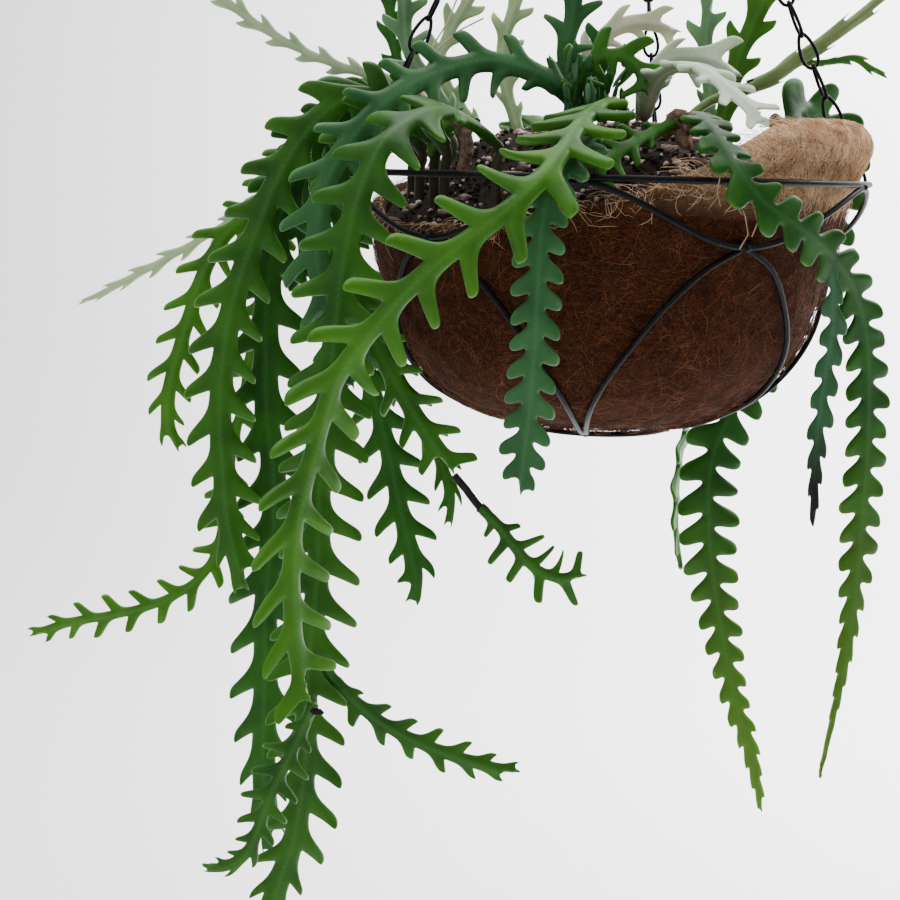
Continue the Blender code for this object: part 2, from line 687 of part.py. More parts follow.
stem("stem_left_outer", (-13.2, 1.6), [
    (-16.0, 1.2, 4.4), (-19.2, 0.2, 3.4), (-21.8, -1.0, 0.4), (-23.8, -2, -2.6), (-25.8, -2.8, -4.6),
    (-27.2, -3.2, -7.2), (-28.1, -3.4, -10.0), (-28.9, -3.4, -12.6), (-29.5, -3.4, -15.0),
    (-29.6, -3.4, -17.6), (-28.7, -3.4, -20.0)],
    [(0, FRONT)], MID, half=1.8, notch=0.34, pitch=2.4, core=0.5, bare=3.0, fade=3, shape=SMALL_LOBE)
stem("stem_left_out", (-12.8, 4.2), [
    (-15.8, 4.2, 3.8), (-18.8, 3.6, 2.6), (-21.2, 2.8, -0.6), (-23.0, 1.8, -5.4), (-24.2, 1.2, -10.6),
    (-25.0, 0.8, -15.9), (-25.8, 0.4, -20.2), (-26.3, 0, -24.2), (-26.8, -0.4, -27.2),
    (-28.0, -1, -29.2), (-30.0, -1.6, -30.5), (-32.2, -2, -31.3), (-34.6, -2, -31.9), (-37.4, -2, -32.5),
    (-40.6, -2, -33.8)],
    [(0, FRONT)], MID, half=1.4, notch=0.36, pitch=2.5, core=0.5, bare=5.0, fade=5, shape=SMALL_LOBE)
stem("stem_left_short", (-12.0, 6.6), [
    (-14.6, 7.4, 3.2), (-17.2, 7.9, 2.0), (-18.8, 7.3, -1.6), (-17.8, 6.2, -6.0), (-15.9, 5.2, -10.6),
    (-14.0, 4.4, -14.8), (-12.0, 3.8, -18.8), (-10.6, 3.4, -21.4), (-10.0, 3, -23.9), (-10.7, 2.8, -26.6)],
    [(0, FRONT)], MID, half=1.4, notch=0.4, pitch=2.5, core=0.5, bare=4.0, fade=3, shape=SMALL_LOBE)

# Right stems
front_right = stem("stem_right_front", (4.6, -6.0), [
    (4.5, -10.5, 3.9), (4.7, -15, 2.9), (5.4, -18.8, 0.8), (6.9, -19.8, -1.1), (8.9, -19.0, -2.3),
    (11.2, -17.2, -3.7), (13.6, -15.0, -6.1), (15.1, -13.4, -9.4), (15.9, -12.2, -13.4),
    (16.3, -11.4, -17.1), (16.5, -10.8, -20.6), (16.6, -10.4, -24), (16.6, -10, -28.2),
    (16.3, -10, -32.3), (15.8, -10, -36.4), (15.2, -10, -40.4)],
    [(0, BACK), (2, BACK), (4, UP), (6, (0, -1, 0.3)), (8, (0.2, -1, 0))], BLUE, half=1.45, notch=0.42,
    pitch=2.0, core=0.5, bare=5.0, fade=9, shape=SMALL_LOBE)
strand = stem("strand", None, [
    (11.7, -16.7, -3.9), (12.3, -15.9, -6.0), (12.7, -15.0, -8.8), (12.7, -14.2, -11.4),
    (12.6, -13.8, -14.6), (12.6, -13.6, -18), (12.8, -13.6, -21.6)],
    [(0, (-1, 0.2, 0))], GREY, half=0.8, notch=0.3, pitch=2.4, core=0.45, bare=0.6, fade=4,
    shape=SMALL_LOBE)
fuse(front_right, [strand])
stem("stem_right_back", (12.4, 5.2), [
    (15.0, 8.0, 5.2), (17.8, 10.6, 4.6), (19.4, 12.0, 0.6), (18.4, 12.4, -5.0), (15.6, 12.2, -11.4),
    (12.6, 11.2, -16.8), (10.9, 10.5, -20.4), (10.4, 10, -23.7), (10.6, 10, -26.4), (10.9, 10, -29.2),
    (11.4, 10, -31.8), (12.0, 10, -34.8), (12.8, 10, -38.2), (13.8, 10, -42), (15.0, 10, -45.2),
    (16.0, 10, -48.9), (16.9, 10, -52.6)],
    [(0, FRONT)], DEEP, half=2.5, notch=0.5, pitch=2.5, core=0.6, bare=3.5, fade=11, shape=SMALL_LOBE)
stem("stem_right_back_edge", (7.4, 11.2), [
    (9.4, 15, 4.6), (11.0, 18.6, 2.4), (11.8, 20.6, -2.4), (11.5, 20.4, -9.0), (10.8, 19.2, -15.0),
    (9.8, 18.2, -20.2), (9.2, 17.4, -23.7), (9.1, 17, -27.0), (9.3, 17, -29.8), (10.0, 17, -33.4)],
    [(0, (1, 0, 0)), (6, (1, -0.3, 0))], DEEP, half=2.0, notch=0.5, pitch=2.8, core=0.5, bare=4.0,
    fade=3, shape=SMALL_LOBE)

stem("stem_back", (-3.6, 12.6), [
    (-4.0, 15.4, 4.4), (-4.9, 19.0, 3.4), (-6.0, 20.8, -0.6), (-6.6, 21.0, -5.4), (-7.0, 20.6, -11),
    (-7.2, 20.4, -17)],
    [(0, FRONT), (2, FRONT), (3, UP), (5, BACK)], MID, half=2.2, notch=0.6, pitch=3.0, core=0.6,
    bare=4.0, fade=3, shape=SMALL_LOBE)

# Upright and arching stems above the rim
stem("stem_top_far_left", (-10.6, 0.6), [
    (-13.2, 0.4, 5.6), (-16.8, 0.2, 6.6), (-20.4, 0.2, 7.8), (-23.9, 0.2, 9.6), (-26.8, 0.2, 11.7),
    (-29.6, 0.2, 14.0)],
    [(0, FRONT)], PALE, half=0.8, notch=0.27, pitch=2.2, core=0.4, bare=7.5, fade=2, shape=SMALL_LOBE)
stem("stem_left_thin", (-10.8, 8.2), [
    (-14.2, 8.8, 4.8), (-18.2, 9.4, 3.4), (-22.6, 9.2, -0.2), (-26.4, 8.6, -3.4), (-30.4, 7.6, -6.0),
    (-34.6, 6.6, -8.4), (-38.6, 6, -10.6)],
    [(0, FRONT)], PALE, half=0.7, notch=0.26, pitch=2.6, core=0.4, bare=9.0, fade=3, shape=SMALL_LOBE)
stem("stem_top_dark", (-8.6, 10.4), [
    (-12.0, 11.0, 5.4), (-14.6, 11, 8.0), (-15.4, 11, 10.8), (-15.3, 11, 13.4), (-15.2, 11, 16.2)],
    [(0, FRONT)], DEEP, half=1.1, notch=0.35, pitch=2.1, core=0.4, bare=3.5, fade=2, shape=SMALL_LOBE)
stem("stem_top_left", (-10.0, 3.6), [
    (-12.0, 4.0, 6.0), (-13.6, 4.2, 8.2), (-14.1, 4.2, 10.4), (-14.0, 4.2, 12.8), (-13.2, 4.2, 15.6)],
    [(0, FRONT)], GREY, half=1.7, notch=0.5, pitch=2.6, core=0.5, bare=3.0, fade=2)
stem("stem_top_pale_a", (-8.0, 7.6), [
    (-10.4, 7.8, 5.4), (-11.6, 7.8, 8.0), (-10.8, 7.8, 10.4), (-9.4, 7.8, 12.8), (-8.2, 7.8, 15.8)],
    [(0, FRONT)], PALE, half=1.3, notch=0.4, pitch=2.3, core=0.4, bare=3.0, fade=2, shape=SMALL_LOBE)
stem("stem_top_pale_b", (-5.4, 9.6), [
    (-6.6, 9.8, 6.4), (-7.0, 9.8, 9.0), (-6.4, 9.8, 11.6), (-5.5, 9.8, 14.2), (-4.5, 9.8, 17.0)],
    [(0, FRONT)], PALE, half=1.5, notch=0.45, pitch=2.5, core=0.4, bare=3.0, fade=2)
stem("stem_top_centre", (-1.8, 2.6), [
    (-2.4, 2.6, 6.6), (-2.8, 2.6, 8.6), (-2.4, 2.6, 10.6), (-2.2, 2.6, 12.8), (-1.2, 2.6, 15.6)],
    [(0, FRONT)], BLUE, half=2.0, notch=0.6, pitch=2.6, core=0.5, bare=2.6, fade=2)
stem("stem_top_small", (-0.4, -1.4), [
    (-0.9, -2.6, 6.0), (-0.9, -3.6, 7.8), (-0.2, -4.4, 9.8)],
    [(0, FRONT)], BLUE, half=1.8, notch=0.5, pitch=2.3, core=0.5, bare=2.6, fade=1)
stem("stem_top_grey", (2.4, 0.6), [
    (2.6, 0.6, 6.2), (4.0, 0.5, 8.0), (6.0, 0.2, 8.3), (8.0, -0.6, 7.7), (9.8, -1.6, 6.2)],
    [(0, FRONT)], GREY, half=2.0, notch=0.6, pitch=3.0, core=0.5, bare=3.0, fade=1)
stem("stem_top_bright", (8.4, 3.6), [
    (9.0, 3.4, 6.2), (9.3, 3.2, 8.2), (10.0, 3.0, 10.2), (10.8, 2.8, 12.2), (11.8, 2.4, 14.6)],
    [(0, FRONT)], FRESH, half=1.7, notch=0.6, pitch=2.8, core=0.5, bare=3.0, fade=2)
long_right = stem("stem_top_right", (6.0, 6.0), [
    (8.0, 6.3, 5.6), (10.6, 6.6, 6.6), (12.8, 6.8, 7.6), (14.3, 7, 8.7), (15.9, 7, 9.8), (18.0, 7, 11.4),
    (20.6, 7, 13.6), (23.0, 7, 16.0)],
    [(0, FRONT)], MID, half=0.85, notch=0.5, pitch=2.3, core=0.55, bare=3.0, fade=2, shape=SMALL_LOBE)
branch = stem("branch", None, [
    (14.2, 7, 8.6), (15.4, 7, 8.6), (16.8, 7, 8.7), (18.4, 7, 9.0), (19.9, 7, 8.3), (21.6, 7, 7.3)],
    [(0, FRONT)], MID, half=0.6, notch=0.22, pitch=2.0, core=0.5, bare=0.4, fade=2, shape=SMALL_LOBE)
fuse(long_right, [branch])
stem("stem_top_arch", (2.2, -4.4), [
    (2.2, -7.4, 6.0), (3.0, -10.2, 6.8), (4.0, -13.6, 6.4), (5.2, -17.4, 5.0), (7.0, -20.4, 3.0)],
    [(0, FRONT), (2, (0, 0.2, 1)), (4, UP), (7, (0.3, -1, 1))], GREY, half=1.6, notch=0.6, pitch=2.6,
    core=0.5, bare=3.0, fade=1)
stem("stem_top_dry", (-0.6, 8.6), [
    (-0.8, 8.8, 7.6), (0.2, 8.8, 10.0), (2.2, 8.8, 11.2), (4.6, 8.6, 11.2), (6.8, 8.2, 10.4)],
    [(0, FRONT)], DRY, half=1.4, notch=0.6, pitch=2.6, core=0.4, bare=3.0, fade=1)
stem("stem_top_back", (8.6, 8.8), [
    (8.6, 9.4, 6.4), (8.2, 9.6, 9.2), (8.2, 9.6, 11.8), (8.8, 9.6, 14.6)],
    [(0, FRONT)], GREY, half=1.6, notch=0.5, pitch=2.4, core=0.4, bare=4.0, fade=2, shape=SMALL_LOBE)


# A square hole in the soil for each stem.
for x, y in holes:
    z = soil_top(x, y)
    points = []
    for height in (z - HOLE_DEPTH, z + 1.2):
        for k in range(4):
            turn = math.pi / 2 * k
            points.append((x + HOLE_RADIUS * math.cos(turn), y + HOLE_RADIUS * math.sin(turn), height))
    faces = [(0, 1, 2, 3), (4, 5, 6, 7), (0, 1, 5, 4), (1, 2, 6, 5), (2, 3, 7, 6), (3, 0, 4, 7)]
    cut(soil, body("hole", points, faces, peat))


# Round wires are shaded smooth all round, and the rest smooth but for its edges.
ROUND_WIRES = ("wire_basket", "hook")
for obj in bpy.data.objects:
    obj.data.shade_smooth()
    if not obj.name.startswith(ROUND_WIRES):
        obj.data.set_sharp_from_angle(angle=math.radians(40))
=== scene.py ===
import math
import random

import bmesh
import bpy
import numpy as np
from mathutils import Matrix, Vector, noise
from mathutils.geometry import delaunay_2d_cdt


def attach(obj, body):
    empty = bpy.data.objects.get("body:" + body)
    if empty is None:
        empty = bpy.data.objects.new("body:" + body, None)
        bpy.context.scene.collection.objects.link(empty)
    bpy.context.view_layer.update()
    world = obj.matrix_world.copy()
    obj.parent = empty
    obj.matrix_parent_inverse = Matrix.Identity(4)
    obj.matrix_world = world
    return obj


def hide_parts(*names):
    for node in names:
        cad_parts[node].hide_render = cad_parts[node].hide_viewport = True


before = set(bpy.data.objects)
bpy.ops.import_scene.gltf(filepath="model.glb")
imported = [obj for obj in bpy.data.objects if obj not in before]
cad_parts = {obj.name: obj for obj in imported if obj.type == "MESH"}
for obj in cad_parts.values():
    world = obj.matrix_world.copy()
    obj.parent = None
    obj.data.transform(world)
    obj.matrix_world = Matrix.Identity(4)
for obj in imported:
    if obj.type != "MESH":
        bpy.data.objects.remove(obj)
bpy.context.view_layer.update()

# Hook: a steel rod bent into an S and coated black. Its upper bend hangs on a bracket and its lower
# bend carries the three chains. Lengths are in centimetres from the centre of the basket's rim, and
# at() turns them into the frame's metres, where the hook's bearing point is the origin.
RIM_BELOW_HOOK = 40.5
HOOK_ROD = 0.2
HOOK_BEND = 1.5
HOOK_LOW_BEND = 1.1
EYE_HEIGHT = 35.9
DUST = (0.006, 0.0065, 0.009)


def at(point):
    return Vector((point[0] * 0.01, point[1] * 0.01, (point[2] - RIM_BELOW_HOOK) * 0.01))


def feed(made, node, inputs):
    """Sets inputs of a node: to a value, or by a link where a node's output is given."""
    for key, value in inputs.items():
        if isinstance(value, bpy.types.NodeSocket):
            made.node_tree.links.new(value, node.inputs[key])
        else:
            node.inputs[key].default_value = value


def add_node(made, kind, output, inputs=None, **traits):
    """Adds a node to a finish and returns the output that is named."""
    new = made.node_tree.nodes.new(kind)
    for trait, value in traits.items():
        setattr(new, trait, value)
    feed(made, new, inputs or {})
    return new.outputs[output]


def new_finish(name):
    """A new finish, its shader, and the places on the piece that it covers."""
    made = bpy.data.materials.new(name)
    made.use_nodes = True
    place = add_node(made, "ShaderNodeTexCoord", "Object")
    return made, made.node_tree.nodes["Principled BSDF"], place


def clouds(made, place, scale, detail, rough=0.5, twist=0.0):
    """A noise field over the piece."""
    return add_node(made, "ShaderNodeTexNoise", "Fac", {
        "Vector": place, "Scale": scale, "Detail": detail, "Roughness": rough, "Distortion": twist})


def two_tones(made, value, low, dark, high, light):
    """The dark tone up to the low value, the light one from the high value, a ramp between them."""
    ramp = made.node_tree.nodes.new("ShaderNodeValToRGB")
    for k, (position, tone) in enumerate(((low, dark), (high, light))):
        ramp.color_ramp.elements[k].position = position
        ramp.color_ramp.elements[k].color = (*tone, 1)
    feed(made, ramp, {"Fac": value})
    return ramp.outputs["Color"]


def ranged(made, value, low, high, start=0.0, end=1.0, **traits):
    """Low where the value is at its start, high where it is at its end."""
    return add_node(made, "ShaderNodeMapRange", "Result", {
        "Value": value, "From Min": start, "From Max": end, "To Min": low, "To Max": high}, **traits)


def bumped(made, height, strength, distance, under=None):
    """A surface raised by a field, over another raised surface where one is given."""
    inputs = {"Height": height, "Strength": strength, "Distance": distance}
    if under is not None:
        inputs["Normal"] = under
    return add_node(made, "ShaderNodeBump", "Normal", inputs)


def coated_steel(name, colour, gloss):
    """Black coating on steel: nearly smooth, with faint dust and small dents."""
    made, shader, place = new_finish(name)
    dust = clouds(made, place, 240.0, 5.0)
    dusty = [tone + more for tone, more in zip(colour, DUST)]
    feed(made, shader, {
        "Base Color": two_tones(made, dust, 0.5, colour, 0.78, dusty),
        "Roughness": ranged(made, dust, gloss, gloss + 0.3),
        "Normal": bumped(made, dust, 0.25, 0.0004),
        "Specular IOR Level": 0.16})
    return made


def placed(name, data):
    made = bpy.data.objects.new(name, data)
    bpy.context.scene.collection.objects.link(made)
    return made


def rods(name, runs, thick, finish):
    """Round rods through lists of points in cm. A run is its points and whether it closes."""
    curve = bpy.data.curves.new(name, "CURVE")
    curve.dimensions = "3D"
    curve.bevel_depth = thick * 0.01
    curve.bevel_resolution = 3
    curve.use_fill_caps = True
    for points, closed in runs:
        spline = curve.splines.new("POLY")
        spline.points.add(len(points) - 1)
        for k, p in enumerate(points):
            spline.points[k].co = (*at(p), 1)
        spline.use_cyclic_u = closed
        spline.use_smooth = True
    curve.materials.append(finish)
    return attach(placed(name, curve), "root")


hook_coat = coated_steel("hook_coat", (0.012, 0.013, 0.017), 0.3)
upper = RIM_BELOW_HOOK + HOOK_ROD - HOOK_BEND
lower = EYE_HEIGHT + HOOK_LOW_BEND
rod = []
for turn in range(-20, 181, 8):
    turn = math.radians(turn)
    rod.append(Vector((HOOK_BEND * math.cos(turn), 0, upper + HOOK_BEND * math.sin(turn))))
for x, z in ((-1.42, upper - 0.5), (-1.15, upper - 0.95), (0.45, lower + 0.95), (0.85, lower + 0.62)):
    rod.append(Vector((x, 0, z)))
for turn in range(20, -206, -9):
    turn = math.radians(turn)
    rod.append(Vector((HOOK_LOW_BEND * math.cos(turn), 0, lower + HOOK_LOW_BEND * math.sin(turn))))
hook = rods("hook_rod", [(rod, False)], HOOK_ROD, hook_coat)
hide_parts("hook")

# Chains: three runs of teardrop links bent from black wire, each link turned a quarter from the next.
# They meet on the hook's lower bend, and each last link is closed round the basket's rim.
CHAIN_AZIMUTHS = (20.0, 90.0, -110.0)
EYE_SHIFTS = (0.0, 0.45, -0.45)
LINK_WIRE = 0.12
LINK_PITCH = 2.2
LINK_HALF_WIDE = 0.52
LINK_POINTS = 22
LINK_DROP = 0.28
RIM_RADIUS = 17.7
RIM_WIRE = 0.22
SEAT = 0.03


def compass(azimuth, radius, height):
    """A point in cm at an azimuth from the back, clockwise seen from above."""
    turn = math.radians(azimuth)
    return Vector((radius * math.sin(turn), radius * math.cos(turn), height))


def chain_link(centre, run, flat, up_end, low_end):
    """One closed teardrop link, wider below its middle."""
    points = []
    for k in range(LINK_POINTS):
        turn = 2 * math.pi * k / LINK_POINTS
        reach = math.cos(turn) * (up_end if math.cos(turn) > 0 else low_end)
        wide = math.sin(turn) * LINK_HALF_WIDE * (1 - LINK_DROP * math.cos(turn))
        points.append(centre - run * reach + flat * wide)
    return points


chain_coat = coated_steel("chain_coat", (0.003, 0.0032, 0.005), 0.3)
for number, azimuth in enumerate(CHAIN_AZIMUTHS):
    shift = EYE_SHIFTS[number]
    top = Vector((shift, 0.0, EYE_HEIGHT + 0.2 * abs(shift)))
    foot = compass(azimuth, RIM_RADIUS, 0.0)
    run = (foot - top).normalized()
    top -= run * (HOOK_ROD + LINK_WIRE + SEAT)
    foot += run * (RIM_WIRE + LINK_WIRE + SEAT)
    count = round((foot - top).length / LINK_PITCH)
    pitch = (foot - top).length / count
    across = Vector((0, 1, 0)) - run * run.y
    across.normalize()
    last = compass(azimuth, 1.0, 0.0)
    last = (last - run * run.dot(last)).normalized()
    links_of_chain = []
    for i in range(count):
        first = across if i % 2 == 0 else run.cross(across).normalized()
        final = last if (count - 1 - i) % 2 == 0 else run.cross(last).normalized()
        if first.dot(final) < 0:
            final = -final
        flat = first.lerp(final, i / (count - 1))
        flat = (flat - run * run.dot(flat)).normalized()
        half = pitch / 2
        up_end = half if i == 0 else half + LINK_WIRE
        low_end = half if i == count - 1 else half + LINK_WIRE
        centre = top + run * (pitch * (i + 0.5))
        links_of_chain.append((chain_link(centre, run, flat, up_end, low_end), True))
    node = "chain_" + ("back", "right", "left")[number]
    chain = rods(node + "_links", links_of_chain, LINK_WIRE, chain_coat)
    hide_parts(node)

# Wire basket: a rim ring, a wavy wire that touches it five times, ten arcs that run from the wave's
# low points down to a small base ring, all welded and dipped in black plastic.
BENT_WIRE = 0.19
BENDS = 5
JOINT_HEIGHT = -3.8
BASE_RADIUS = 5.6
BASE_HEIGHT = -17.0
WIRE_TURN = 10
WIRE_OFF_COIR = 0.2
WAVE_POINTS = 150
WAVE_TOP = -0.21
WAVE_FULLNESS = 0.8
COIR_PROFILE = [
    (16.4, -1.0), (15.7, -5.0), (14.2, -10.4), (12.6, -13.0), (10.2, -15.0), (6.8, -16.4), (3.6, -16.7)]
ARC = [
    (37.6, -3.5), (34.6, -4.0), (27.0, -5.2), (19.0, -7.5), (12.0, -10.1), (6.6, -12.4), (3.2, -14.3),
    (1.4, -16.0)]


def coir_radius(height):
    if height >= COIR_PROFILE[0][1]:
        return COIR_PROFILE[0][0]
    for (r0, z0), (r1, z1) in zip(COIR_PROFILE, COIR_PROFILE[1:]):
        if height >= z1:
            return r0 + (r1 - r0) * (height - z0) / (z1 - z0)
    return COIR_PROFILE[-1][0]


def wire_place(height):
    """Radius and height of a wire's centre that lies on the coir at that height."""
    steep = (coir_radius(height + 0.4) - coir_radius(height - 0.4)) / 0.8
    size = math.hypot(1.0, steep)
    off = BENT_WIRE + WIRE_OFF_COIR
    return coir_radius(height) + off / size, height - off * steep / size


def smooth_run(points, parts, closed=False):
    """More points on a smooth curve through the given ones."""
    points = [Vector(p) for p in points]
    if closed:
        ends = [points[-1], *points, points[0], points[1]]
    else:
        ends = [2 * points[0] - points[1], *points, 2 * points[-1] - points[-2]]
    found = []
    for i in range(1, len(ends) - 2):
        a, b, c, d = ends[i - 1:i + 3]
        for k in range(parts):
            t = k / parts
            found.append(0.5 * (2 * b + (c - a) * t + (2 * a - 5 * b + 4 * c - d) * t * t
                                + (3 * b - a - 3 * c + d) * t ** 3))
    if not closed:
        found.append(points[-1])
    return found


wire_coat = coated_steel("wire_coat", (0.0015, 0.0016, 0.0025), 0.34)
rim = [compass(3 * k, RIM_RADIUS, 0.0) for k in range(120)]
rim_ring = rods("basket_rim", [(rim, True)], RIM_WIRE, wire_coat)
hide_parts("wire_basket")
low_radius, low_height = wire_place(JOINT_HEIGHT)
wave = []
for k in range(WAVE_POINTS):
    azimuth = 360 * k / WAVE_POINTS
    share = 0.5 + 0.5 * math.cos(math.radians(azimuth * BENDS))
    height = WAVE_TOP + (low_height - WAVE_TOP) * share ** WAVE_FULLNESS
    radius = RIM_RADIUS + 0.04 + (low_radius + 0.1 - RIM_RADIUS) * share
    wave.append(compass(WIRE_TURN + azimuth, radius, height))
base = [compass(7.5 * k, BASE_RADIUS, BASE_HEIGHT) for k in range(48)]
wires = [(wave, True), (base, True)]
knots = []
for foot_number in range(BENDS):
    crest = WIRE_TURN + (foot_number + 0.5) * 360 / BENDS
    middle = 180 + WIRE_TURN + foot_number * 360 / BENDS
    knots.append((compass(crest, RIM_RADIUS + 0.02, -0.15), 0.34))
    knots.append((compass(middle + 180, low_radius + 0.05, low_height - 0.05), 0.36))
    for hand in (-1, 1):
        arc = []
        for swing, height in ARC:
            radius, z = wire_place(height)
            arc.append(compass(middle + hand * swing, radius, z))
        arc.append(compass(middle + hand, BASE_RADIUS - 0.3, BASE_HEIGHT + SEAT))
        wires.append((smooth_run(arc, 6), False))
    knots.append((compass(middle, BASE_RADIUS - 0.05, BASE_HEIGHT), 0.3))
basket_wires = rods("basket_wires", wires, BENT_WIRE, wire_coat)
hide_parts("wire_basket")


def piece(name, points, faces, finish, smooth=True):
    """A mesh from points in cm, riding on the root."""
    mesh = bpy.data.meshes.new(name)
    mesh.from_pydata([at(p) for p in points], [], faces)
    mesh.materials.append(finish)
    if smooth:
        mesh.shade_smooth()
    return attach(placed(name, mesh), "root")


GOLD = (1 + math.sqrt(5)) / 2
ICO_POINTS = [Vector(p).normalized() for p in (
    (-1, GOLD, 0), (1, GOLD, 0), (-1, -GOLD, 0), (1, -GOLD, 0), (0, -1, GOLD), (0, 1, GOLD),
    (0, -1, -GOLD), (0, 1, -GOLD), (GOLD, 0, -1), (GOLD, 0, 1), (-GOLD, 0, -1), (-GOLD, 0, 1))]
ICO_FACES = [
    (0, 11, 5), (0, 5, 1), (0, 1, 7), (0, 7, 10), (0, 10, 11), (1, 5, 9), (5, 11, 4), (11, 10, 2),
    (10, 7, 6), (7, 1, 8), (3, 9, 4), (3, 4, 2), (3, 2, 6), (3, 6, 8), (3, 8, 9), (4, 9, 5), (2, 4, 11),
    (6, 2, 10), (8, 6, 7), (9, 8, 1)]


def rounded_ball():
    """Points and faces of a ball with 80 faces."""
    points = list(ICO_POINTS)
    middles = {}
    faces = []
    for tri in ICO_FACES:
        mids = []
        for a, b in ((0, 1), (1, 2), (2, 0)):
            key = tuple(sorted((tri[a], tri[b])))
            if key not in middles:
                middles[key] = len(points)
                points.append(((points[key[0]] + points[key[1]]) / 2).normalized())
            mids.append(middles[key])
        faces += [(tri[0], mids[0], mids[2]), (tri[1], mids[1], mids[0]), (tri[2], mids[2], mids[1])]
        faces.append(tuple(mids))
    return points, faces


BALL_POINTS, BALL_FACES = rounded_ball()


def scatter(name, spots, finish, smooth=False, fine=False, seed=1):
    """Small lumps, one per spot: its centre, its half sizes, and how uneven it is."""
    dice = random.Random(seed)
    shape, skin = (BALL_POINTS, BALL_FACES) if fine else (ICO_POINTS, ICO_FACES)
    points = []
    faces = []
    for centre, sizes, uneven in spots:
        turn = Matrix.Rotation(dice.uniform(0, 6.28), 3, "Z")
        turn = turn @ Matrix.Rotation(dice.uniform(-0.6, 0.6), 3, "X")
        start = len(points)
        for p in shape:
            grow = 1 + dice.uniform(-uneven, uneven)
            own = Vector((p.x * sizes[0], p.y * sizes[1], p.z * sizes[2]))
            points.append(centre + turn @ own * grow)
        faces += [tuple(start + k for k in tri) for tri in skin]
    return piece(name, points, faces, finish, smooth)


basket_welds = scatter("basket_welds", [(spot, (size, size, size * 0.8), 0.08) for spot, size in knots],
                       wire_coat, smooth=True, fine=True)

# Coir liner: a bowl of matted coconut fibre, pressed into the basket. Its edge sags to the left and
# is rolled thick and dry at the right, and its top is painted lighter, partly dry fibre and partly
# painted light from above. The felt is one thick skin, and loose fibres lie over it.
COIR_THICK = 1.2
EDGE_HEIGHT = 0.7
EDGE_TILT = 0.5
DIP_DEPTH = 3.6
DIP_AZIMUTH = -128
ROLL_HEIGHT = 2.5
ROLL_AZIMUTH = 124
ROLL_FLAT = 1.6
ROLL_THICK = 0.8
ROLL_NARROW = 6
DIP_NARROW = 1.6
NOTCH_HEIGHT = -0.75
NOTCH_HALF = 5
NOTCH_EASE = 4
BELOW_EDGE = 1.2
STEP_DOWN = 0.3
ROLL_OUT = 0.35
MATTED = (1.0, 1.0, 1.9)
HAIRS = ((70.0, 0.009), (105.0, 0.012), (150.0, 0.015), (210.0, 0.018), (300.0, 0.022))


def facing(azimuth, middle):
    """1 at the middle azimuth, and 0 from a quarter turn away."""
    return max(0.0, math.cos(math.radians(azimuth - middle)))


def coir_edge(azimuth):
    """Height of the coir's edge at an azimuth, and how thick it is rolled there."""
    azimuth = (azimuth + 180) % 360 - 180
    right = math.sin(math.radians(azimuth))
    roll = min(1.0, ROLL_FLAT * facing(azimuth, ROLL_AZIMUTH) ** ROLL_NARROW)
    dip = facing(azimuth, DIP_AZIMUTH) ** DIP_NARROW
    height = EDGE_HEIGHT + EDGE_TILT * right - DIP_DEPTH * dip + ROLL_HEIGHT * roll
    for hung in CHAIN_AZIMUTHS:
        near = abs((azimuth - hung + 180) % 360 - 180)
        keep = min(1.0, max(0.0, (near - NOTCH_HALF + 1) / NOTCH_EASE))
        height = min(height, NOTCH_HEIGHT + (height - NOTCH_HEIGHT) * keep)
        roll *= keep
    return height, roll


def coir_outline(azimuth):
    """One section of the coir: up its outside from the base, over the edge, a little down inside."""
    top, roll = coir_edge(azimuth)
    outline = []
    for number, (r, z) in enumerate(COIR_PROFILE):
        limit = min(z, top - BELOW_EDGE - STEP_DOWN * number)
        outline.append((coir_radius(limit) if limit < z else r, limit))
    outline.reverse()
    lip = coir_radius(top)
    curl = COIR_THICK / 2 + ROLL_THICK * roll
    middle = (lip - COIR_THICK / 2 + ROLL_OUT * ROLL_THICK * roll, top - curl)
    for turn in (-40, 0, 40, 80, 120, 160, 200):
        turn = math.radians(turn)
        outline.append((middle[0] + curl * math.cos(turn), middle[1] + curl * math.sin(turn)))
    for below in (0.7, 2.0):
        down = top - 2 * curl - below
        outline.append((coir_radius(down) - COIR_THICK, down))
    return outline


def maths(made, operation, *values):
    """One operation on numbers and outputs of nodes."""
    return add_node(made, "ShaderNodeMath", "Value", dict(enumerate(values)), operation=operation)


def mixed(made, share, base, tone):
    """The base colour, which goes over to a tone by the share."""
    return add_node(made, "ShaderNodeMix", "Result", {"Factor": share, "A": base, "B": (*tone, 1)},
                    data_type="RGBA")


def marked(made, name):
    """The numbers that mark() keeps on a mesh."""
    return add_node(made, "ShaderNodeAttribute", "Fac", attribute_name=name)


def fibre_felt(name, dark, warm, hair_tone, dry):
    """Felted fibre: red-brown, with painted shade in the hollows of its clumps, dry and golden at its
    top and where it is rolled, a tone that is partly dry fibre and partly painted light from above.
    """
    made, shader, place = new_finish(name)
    # Painted shade: the clump field raises the felt's bumps and also darkens its colour where it is
    # low, so the hollows are painted dark.
    clump = clouds(made, place, 38.0, 8.0, 0.7, 1.2)
    body = mixed(made, marked(made, "dry_and_lit"), two_tones(made, clump, 0.34, dark, 0.62, warm), dry)
    matted = add_node(made, "ShaderNodeMapping", "Vector", {"Vector": place, "Scale": MATTED})
    hairs = None
    for scale, thin in HAIRS:
        line = maths(made, "COMPARE", clouds(made, matted, scale, 1.5, twist=2.0), 0.5, thin)
        hairs = line if hairs is None else maths(made, "MAXIMUM", hairs, line)
    feed(made, shader, {
        "Base Color": mixed(made, maths(made, "MULTIPLY", hairs, 0.7), body, hair_tone),
        "Normal": bumped(made, maths(made, "ADD", hairs, clump), 0.7, 0.0008),
        "Roughness": 0.95, "Specular IOR Level": 0.15})
    return made


def mark(made, name, values):
    """Keeps one number per point on a mesh, for its finish to read."""
    kept = made.data.attributes.new(name, "FLOAT", "POINT")
    kept.data.foreach_set("value", np.array(values, np.float32))
